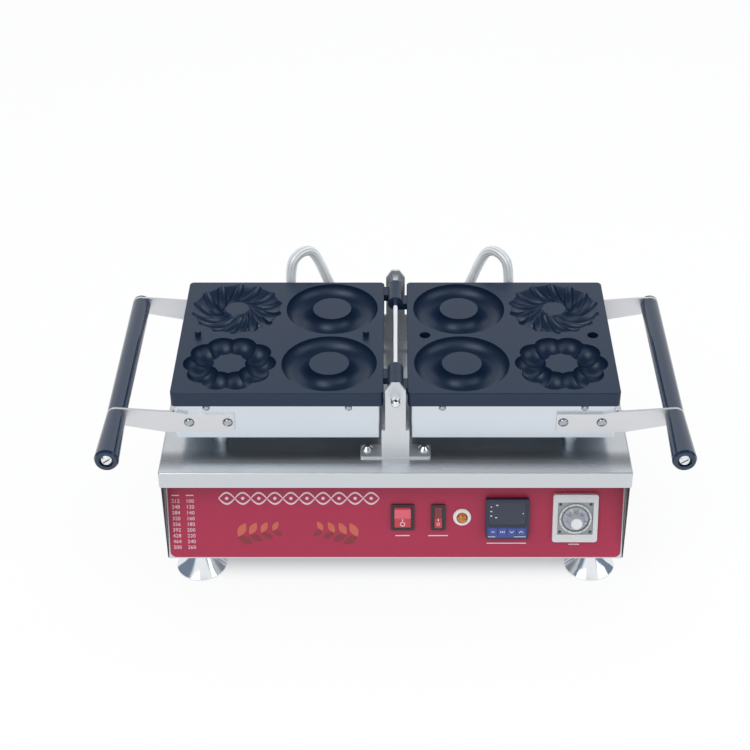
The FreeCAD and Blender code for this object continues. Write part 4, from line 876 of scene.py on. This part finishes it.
class SetScrews(bpy.types.Operator):
    """Pan-head screws with a cross recess, and the slots of the handle rods"""

    bl_idname = "donut_maker.set_screws"
    bl_label = "Screws"

    # Places across from the hinge rod, and heights over the base
    arm_places, arm_up = (0.2225, 0.1810), 0.0472
    lid_places, lid_up = (0.2035, 0.0505), 0.0648

    # In millimetres: the dark fill of a recess under and over its floor, which is painted shade, the dark
    # ring round a head, which is a painted shadow, and a rod's slot, whose turn is in radians
    fill_under, fill_over = 0.3, 0.75
    line_shares, line_rise = (0.95, 1.1), 0.12
    slot_half, slot_width, slot_depth, slot_rise = 4.2, 1.4, 0.4, 0.06
    slot_turn = 0.6

    def execute(self, context):
        steel = plated("screw_steel", context.scene.donut_finishes.screw, roughness=0.1)
        tree = screw_tree()
        for side, sign in SIDES:
            thing = self.points(context, side, sign)
            modifier = thing.modifiers.new("screws", "NODES")
            modifier.node_group = tree
            sizes = context.scene.donut_screws
            for label, given in (("Rise", sizes.rise), ("Recess", sizes.recess), ("Material", steel)):
                modifier[tree.interface.items_tree[label].identifier] = given
            seen = thing.evaluated_get(context.evaluated_depsgraph_get())
            mesh = bpy.data.meshes.new_from_object(seen)
            bpy.data.objects.remove(thing)
            screws = finished(f"{side}_pan_screws", mesh, steel, f"{side}_half")
            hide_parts(f"{side}_screws")
            self.lines(context, side, sign)
            self.slot(side)
        return {"FINISHED"}

    def heads(self, context, side, sign):
        """Each screw's place, its head's radius and whether it faces the front, -1, or the back, 1."""
        sizes = context.scene.donut_screws
        arm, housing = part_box(f"{side}_front_arm"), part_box(f"{side}_housing")
        back_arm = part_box(f"{side}_rear_arm")
        arm_faces, lid_faces = (arm[0][1], back_arm[1][1]), (housing[0][1], housing[1][1])
        kinds = ((self.arm_places, self.arm_up, sizes.head, arm_faces),
                 (self.lid_places, self.lid_up, sizes.lid_head, lid_faces))
        return [((sign * x, y, COVER_HIGH[2] + up), head, way) for places, up, head, faces in kinds
                for x in places for y, way in zip(faces, (-1, 1))]

    def points(self, context, side, sign):
        """One point for each screw, with its head's radius and the way it faces."""
        spots, radii, ways = zip(*self.heads(context, side, sign))
        mesh = bpy.data.meshes.new(f"{side}_screw_points")
        mesh.from_pydata(spots, [], [])
        mesh.attributes.new("head", "FLOAT", "POINT").data.foreach_set("value", radii)
        facing = mesh.attributes.new("facing", "FLOAT_VECTOR", "POINT")
        facing.data.foreach_set("vector", [part for way in ways for part in (0, way, 0)])
        thing = bpy.data.objects.new(f"{side}_screw_points", mesh)
        context.collection.objects.link(thing)
        return thing

    def lines(self, context, side, sign):
        """Painted shade: the dark fill of each cross recess, and the dark ring round the foot of each head, a
        painted shadow.
        """
        sizes = context.scene.donut_screws
        floor = sizes.rise - sizes.recess
        shape = bmesh.new()
        for spot, radius, way in self.heads(context, side, sign):
            where = Matrix.Translation(spot) @ Matrix.Rotation(-way * math.pi / 2, 4, "X")
            for end in ((CROSS_REACH * radius, 0), (0, CROSS_REACH * radius)):
                ends = [(-end[0], -end[1]), end]
                stroke(shape, ends, CROSS_WIDTH * radius, floor - self.fill_under * MM,
                       floor + self.fill_over * MM, where)
            rims = [circle_points(0, 0, share * radius, count=32) for share in self.line_shares]
            band(shape, *rims, 0, self.line_rise * MM, where, closed=True)
        made(f"{side}_screw_painted_shade", shape, bpy.data.materials["timer_dark"], f"{side}_half")

    def slot(self, side):
        """The dark slot across the head of a handle rod: a dark stroke of painted shade that stands for the
        slot's hollow.
        """
        rod = f"{side}_handle_rod"
        across, _, up = middle_of(rod)
        turned = Matrix.Rotation(math.pi / 2, 4, "X") @ Matrix.Rotation(self.slot_turn, 4, "Z")
        where = Matrix.Translation((across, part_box(rod)[0][1], up)) @ turned
        shape = bmesh.new()
        ends = [(-self.slot_half * MM, 0), (self.slot_half * MM, 0)]
        stroke(shape, ends, self.slot_width * MM, -self.slot_depth * MM, self.slot_rise * MM, where)
        made(f"{side}_rod_slot_shade", shape, bpy.data.materials["timer_dark"], f"{side}_half")


def screw_tree():
    """A flat-bottomed dome with a cross cut into it, set on each point along its facing."""
    tree = bpy.data.node_groups.new("pan_screws", "GeometryNodeTree")
    face = tree.interface
    face.new_socket("Geometry", in_out="INPUT", socket_type="NodeSocketGeometry")
    for label, kind in (("Rise", "Float"), ("Recess", "Float"), ("Material", "Material")):
        face.new_socket(label, in_out="INPUT", socket_type=f"NodeSocket{kind}")
    face.new_socket("Result", in_out="OUTPUT", socket_type="NodeSocketGeometry")

    def add(kind, inputs=None, **settings):
        return add_node(tree, kind, settings, inputs)

    given = add("NodeGroupInput")
    ball = add("GeometryNodeMeshUVSphere", {"Segments": 32, "Rings": 16, "Radius": 1.0})
    at = add("ShaderNodeSeparateXYZ", {0: add("GeometryNodeInputPosition").outputs[0]})
    flat = add("ShaderNodeMath", {0: at.outputs[2], 1: 0.0}, operation="MAXIMUM")
    spot = add("ShaderNodeCombineXYZ", {0: at.outputs[0], 1: at.outputs[1], 2: flat.outputs[0]})
    dome = add("GeometryNodeSetPosition", {"Geometry": ball.outputs["Mesh"], "Position": spot.outputs[0]})
    bars = add("GeometryNodeJoinGeometry")
    depth = add("ShaderNodeMath", {0: given.outputs["Recess"], 1: given.outputs["Rise"]}, operation="DIVIDE")
    block_height = 1.0
    clear = 1 + block_height / 2
    drop = add("ShaderNodeMath", {0: clear, 1: depth.outputs[0]}, operation="SUBTRACT")
    lift = add("ShaderNodeCombineXYZ", {2: drop.outputs[0]}).outputs[0]
    reach, width = 2 * CROSS_REACH, CROSS_WIDTH
    for size in ((reach, width, block_height), (width, reach, block_height)):
        block = add("GeometryNodeMeshCube", {"Size": size}).outputs["Mesh"]
        moved = add("GeometryNodeTransform", {"Geometry": block, "Translation": lift})
        tree.links.new(moved.outputs[0], bars.inputs[0])
    head = add("GeometryNodeMeshBoolean", {"Mesh 1": dome.outputs[0], "Mesh 2": bars.outputs[0]},
               operation="DIFFERENCE")
    radius = add("GeometryNodeInputNamedAttribute", {"Name": "head"}, data_type="FLOAT")
    facing = add("GeometryNodeInputNamedAttribute", {"Name": "facing"}, data_type="FLOAT_VECTOR")
    turn = add("FunctionNodeAlignRotationToVector", {"Vector": facing.outputs[0]}, axis="Z")
    size = add("ShaderNodeCombineXYZ", {0: radius.outputs[0], 1: radius.outputs[0], 2: given.outputs["Rise"]})
    placed = add("GeometryNodeInstanceOnPoints", {
        "Points": given.outputs["Geometry"], "Instance": head.outputs[0], "Rotation": turn.outputs[0],
        "Scale": size.outputs[0]})
    real = add("GeometryNodeRealizeInstances", {0: placed.outputs[0]})
    chrome = given.outputs["Material"]
    dressed = add("GeometryNodeSetMaterial", {"Geometry": real.outputs[0], "Material": chrome})
    add("NodeGroupOutput", {0: dressed.outputs[0]})
    return tree


class RunHoses(bpy.types.Operator):
    """Braided hoses from the base's back to the housings"""

    bl_idname = "donut_maker.run_hoses"
    bl_label = "Hoses"

    line_steps, line_order = 24, 3

    def execute(self, context):
        hose = context.scene.donut_hose
        for side, sign in SIDES:
            skew = HOSE_SKEW if sign > 0 else 0
            route = [Vector((-sign * x + skew, BASE_MIDDLE + y, COVER_HIGH[2] + z)) for x, y, z in HOSE_ROUTE]
            path = self.line(context, f"{side}_hose_line", route)
            metres = sum((b - a).length for a, b in zip(path, path[1:]))
            mesh = self.tube(f"{side}_sleeve", path, hose.diameter / 2, hose.around)
            weave = braid(f"{side}_braid", context.scene.donut_finishes.sleeve, hose.diameter, metres)
            sleeve = finished(f"{side}_sleeve", mesh, weave, None)
            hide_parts(f"{side}_hose")
            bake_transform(sleeve)
        return {"FINISHED"}

    def line(self, context, name, route):
        """Points along the smooth line that the route's points control."""
        curve = bpy.data.curves.new(name, "CURVE")
        curve.dimensions = "3D"
        curve.resolution_u = self.line_steps
        spline = curve.splines.new("NURBS")
        spline.points.add(len(route) - 1)
        for point, spot in zip(spline.points, route):
            point.co = (*spot, 1)
        spline.order_u = self.line_order
        spline.use_endpoint_u = True
        thing = bpy.data.objects.new(name, curve)
        context.collection.objects.link(thing)
        mesh = bpy.data.meshes.new_from_object(thing.evaluated_get(context.evaluated_depsgraph_get()))
        points = [v.co.copy() for v in mesh.vertices]
        bpy.data.objects.remove(thing)
        bpy.data.meshes.remove(mesh)
        return points

    def tube(self, name, path, radius, around):
        """A closed tube along points, with a map round and along it."""
        shape = bmesh.new()
        map_layer = shape.loops.layers.uv.new("along")
        way = (path[1] - path[0]).normalized()
        side = way.orthogonal().normalized()
        turns = [math.tau * n / around for n in range(around)]
        rings, shares, gone = [], [], 0.0
        for k, spot in enumerate(path):
            before, after = path[max(k - 1, 0)], path[min(k + 1, len(path) - 1)]
            new_way = (after - before).normalized()
            side = (way.rotation_difference(new_way) @ side).normalized()
            way = new_way
            other = way.cross(side)
            gone += (spot - before).length
            shares.append(gone)
            rim = [side * math.cos(turn) + other * math.sin(turn) for turn in turns]
            rings.append([shape.verts.new(spot + radius * out) for out in rim])
        for k in range(len(path) - 1):
            for n in range(around):
                m = (n + 1) % around
                face = shape.faces.new((rings[k][n], rings[k][m], rings[k + 1][m], rings[k + 1][n]))
                face.smooth = True
                corners = ((n, k), (n + 1, k), (n + 1, k + 1), (n, k + 1))
                for loop, (u, v) in zip(face.loops, corners):
                    loop[map_layer].uv = (u / around, shares[v] / gone)
        shape.faces.new(rings[0][::-1])
        shape.faces.new(rings[-1])
        return mesh_of(shape, name)


class SetStage(bpy.types.Operator):
    """Pale floor, soft light and the camera"""

    bl_idname = "donut_maker.set_stage"
    bl_label = "Studio"

    # Each light's place, size, power and colour
    lights = (
        ("key_light", (-1.1, -1.5, 2.2), 1.6, 22, (1, 0.99, 0.97)),
        ("top_light", (0.2, 0.5, 2.4), 2.2, 20, (0.96, 0.98, 1)),
        ("fill_light", (1.8, -0.8, 1.2), 1.4, 8, (0.96, 0.98, 1)),
    )
    aim = Vector((0, 0, 0.15))
    sensor, sight = 36, 30

    # The floor's colour and half its width, and how far in under the base its shade starts and is full
    floor_colour, floor_half, shade_edge = (0.93, 0.93, 0.93), 6, (0.008, 0.06)

    # Colour and strength of the even light, of the white, of the dark flags and of the dark roof
    skies = (
        ((0.93, 0.965, 1.0), 0.62),
        ((1, 1, 1), 1.0),
        ((0.20, 0.25, 0.32), 1.0),
        ((0.05, 0.06, 0.08), 1.0),
    )
    flag_edge, roof_edge = (0.55, 0.75), (0.66, 0.8)

    def execute(self, context):
        self.camera(context)
        self.floor(context)
        self.world(context)
        for name, spot, size, power, rgb in self.lights:
            lamp = bpy.data.lights.new(name, "AREA")
            lamp.size, lamp.energy, lamp.color = size, power, rgb
            thing = bpy.data.objects.new(name, lamp)
            context.collection.objects.link(thing)
            thing.location = spot
            thing.visible_glossy = name != "top_light"
            thing.rotation_euler = (self.aim - Vector(spot)).to_track_quat("-Z", "Y").to_euler()
        context.scene.view_settings.view_transform = "Standard"
        return {"FINISHED"}

    def camera(self, context):
        studio = context.scene.donut_studio
        data = bpy.data.cameras.new("camera")
        data.sensor_width, data.lens, data.shift_x = self.sensor, studio.lens, studio.shift
        data.clip_end = self.sight
        thing = bpy.data.objects.new("camera", data)
        context.collection.objects.link(thing)
        thing.location = (0, COVER_LOW[1] - studio.distance, COVER_HIGH[2] + studio.height)
        thing.rotation_euler = (math.pi / 2 - studio.pitch, 0, 0)
        context.scene.camera = thing

    def floor(self, context):
        """A white sheet: plain white to the camera and in reflections, with a soft shadow under the base."""
        studio = context.scene.donut_studio
        finish = Finish("floor_white", self.floor_colour, roughness=0.9)
        glow = finish.add("ShaderNodeEmission", {}, {"Color": (1, 1, 1, 1), "Strength": 1.0})
        rays = [finish.add("ShaderNodeLightPath", output=f"Is {kind} Ray")
                for kind in ("Camera", "Glossy", "Transmission")]
        half_width, half_depth = (COVER_HIGH[0] - COVER_LOW[0]) / 2, (COVER_HIGH[1] - COVER_LOW[1]) / 2
        from_middle = (finish.axis(1) - BASE_MIDDLE).size()
        inside = (half_width - finish.axis(0).size()).least(half_depth - from_middle)
        under = finish.ramp(inside, *self.shade_edge)
        share = (rays[0] + rays[1] + rays[2]) * (1 - under * studio.floor_shade) * studio.floor_glow
        blend = finish.add("ShaderNodeMixShader", {}, {0: share, 2: glow})
        finish.tree.links.new(finish.shader.outputs[0], blend.socket.node.inputs[1])
        finish.tree.links.new(blend.socket, finish.tree.nodes["Material Output"].inputs["Surface"])
        mesh = bpy.data.meshes.new("floor")
        half = self.floor_half
        corners = [(-half, -half, 0), (half, -half, 0), (half, half, 0), (-half, half, 0)]
        mesh.from_pydata(corners, [], [(0, 1, 2, 3)])
        mesh.materials.append(finish.material)
        thing = bpy.data.objects.new("floor", mesh)
        context.collection.objects.link(thing)

    def world(self, context):
        """Even light from all round, white to the camera, with dark flags and a dark roof in reflections."""
        world = bpy.data.worlds.new("studio")
        context.scene.world = world
        world.use_nodes = True
        tree = world.node_tree

        def add(kind, inputs, **settings):
            return add_node(tree, kind, settings, inputs).outputs

        def ramp(given, edge):
            return add("ShaderNodeMapRange", {"Value": given, "From Min": edge[0], "From Max": edge[1]})[0]

        soft, white, dark, roof = [add("ShaderNodeBackground", {"Color": (*rgb, 1), "Strength": strength})[0]
                                   for rgb, strength in self.skies]
        rays = add("ShaderNodeLightPath", {})
        way = add("ShaderNodeSeparateXYZ", {0: add("ShaderNodeTexCoord", {})["Generated"]})
        flags = ramp(add("ShaderNodeMath", {0: way[0]}, operation="ABSOLUTE")[0], self.flag_edge)
        above = ramp(way[2], self.roof_edge)
        walls = add("ShaderNodeMixShader", {0: flags, 1: white, 2: dark})[0]
        mirror = add("ShaderNodeMixShader", {0: above, 1: walls, 2: roof})[0]
        shiny = add("ShaderNodeMixShader", {0: rays["Is Glossy Ray"], 1: soft, 2: mirror})[0]
        plain = add("ShaderNodeMath", {0: rays["Is Camera Ray"], 1: rays["Is Transmission Ray"]},
                    operation="MAXIMUM")[0]
        seen = add("ShaderNodeMixShader", {0: plain, 1: shiny, 2: white})[0]
        tree.links.new(seen, tree.nodes["World Output"].inputs["Surface"])


class DonutMakerSidebar(bpy.types.Panel):
    """Steps that dress the machine, and the sizes and colours they use"""

    bl_idname = "VIEW3D_PT_donut_maker"
    bl_label = "Donut maker"
    bl_space_type = "VIEW_3D"
    bl_region_type = "UI"
    bl_category = "Donut maker"

    def draw(self, context):
        for group in (getattr(context.scene, name) for name in GROUPS):
            for name in group.__annotations__:
                self.layout.prop(group, name)
        for step in STEPS:
            self.layout.operator(step.bl_idname)


GROUPS = {
    "donut_finishes": DonutMakerFinishes,
    "donut_panel": DonutMakerPanel,
    "donut_controls": DonutMakerControls,
    "donut_screws": DonutMakerScrews,
    "donut_hose": DonutMakerHose,
    "donut_studio": DonutMakerStudio,
}
STEPS = (SetStage, RunHoses, DressSteel, DressPlates, PrintPanel, MarkControls, SetScrews)


def register():
    for group in (*GROUPS.values(), *STEPS, DonutMakerSidebar):
        bpy.utils.register_class(group)
    for name, group in GROUPS.items():
        setattr(bpy.types.Scene, name, PointerProperty(type=group))


def unregister():
    for name in GROUPS:
        delattr(bpy.types.Scene, name)
    for group in (DonutMakerSidebar, *reversed(STEPS), *reversed(GROUPS.values())):
        bpy.utils.unregister_class(group)


def main():
    register()
    for step in STEPS:
        section, name = step.bl_idname.split(".")
        getattr(getattr(bpy.ops, section), name)()


if __name__ == "__main__":
    main()
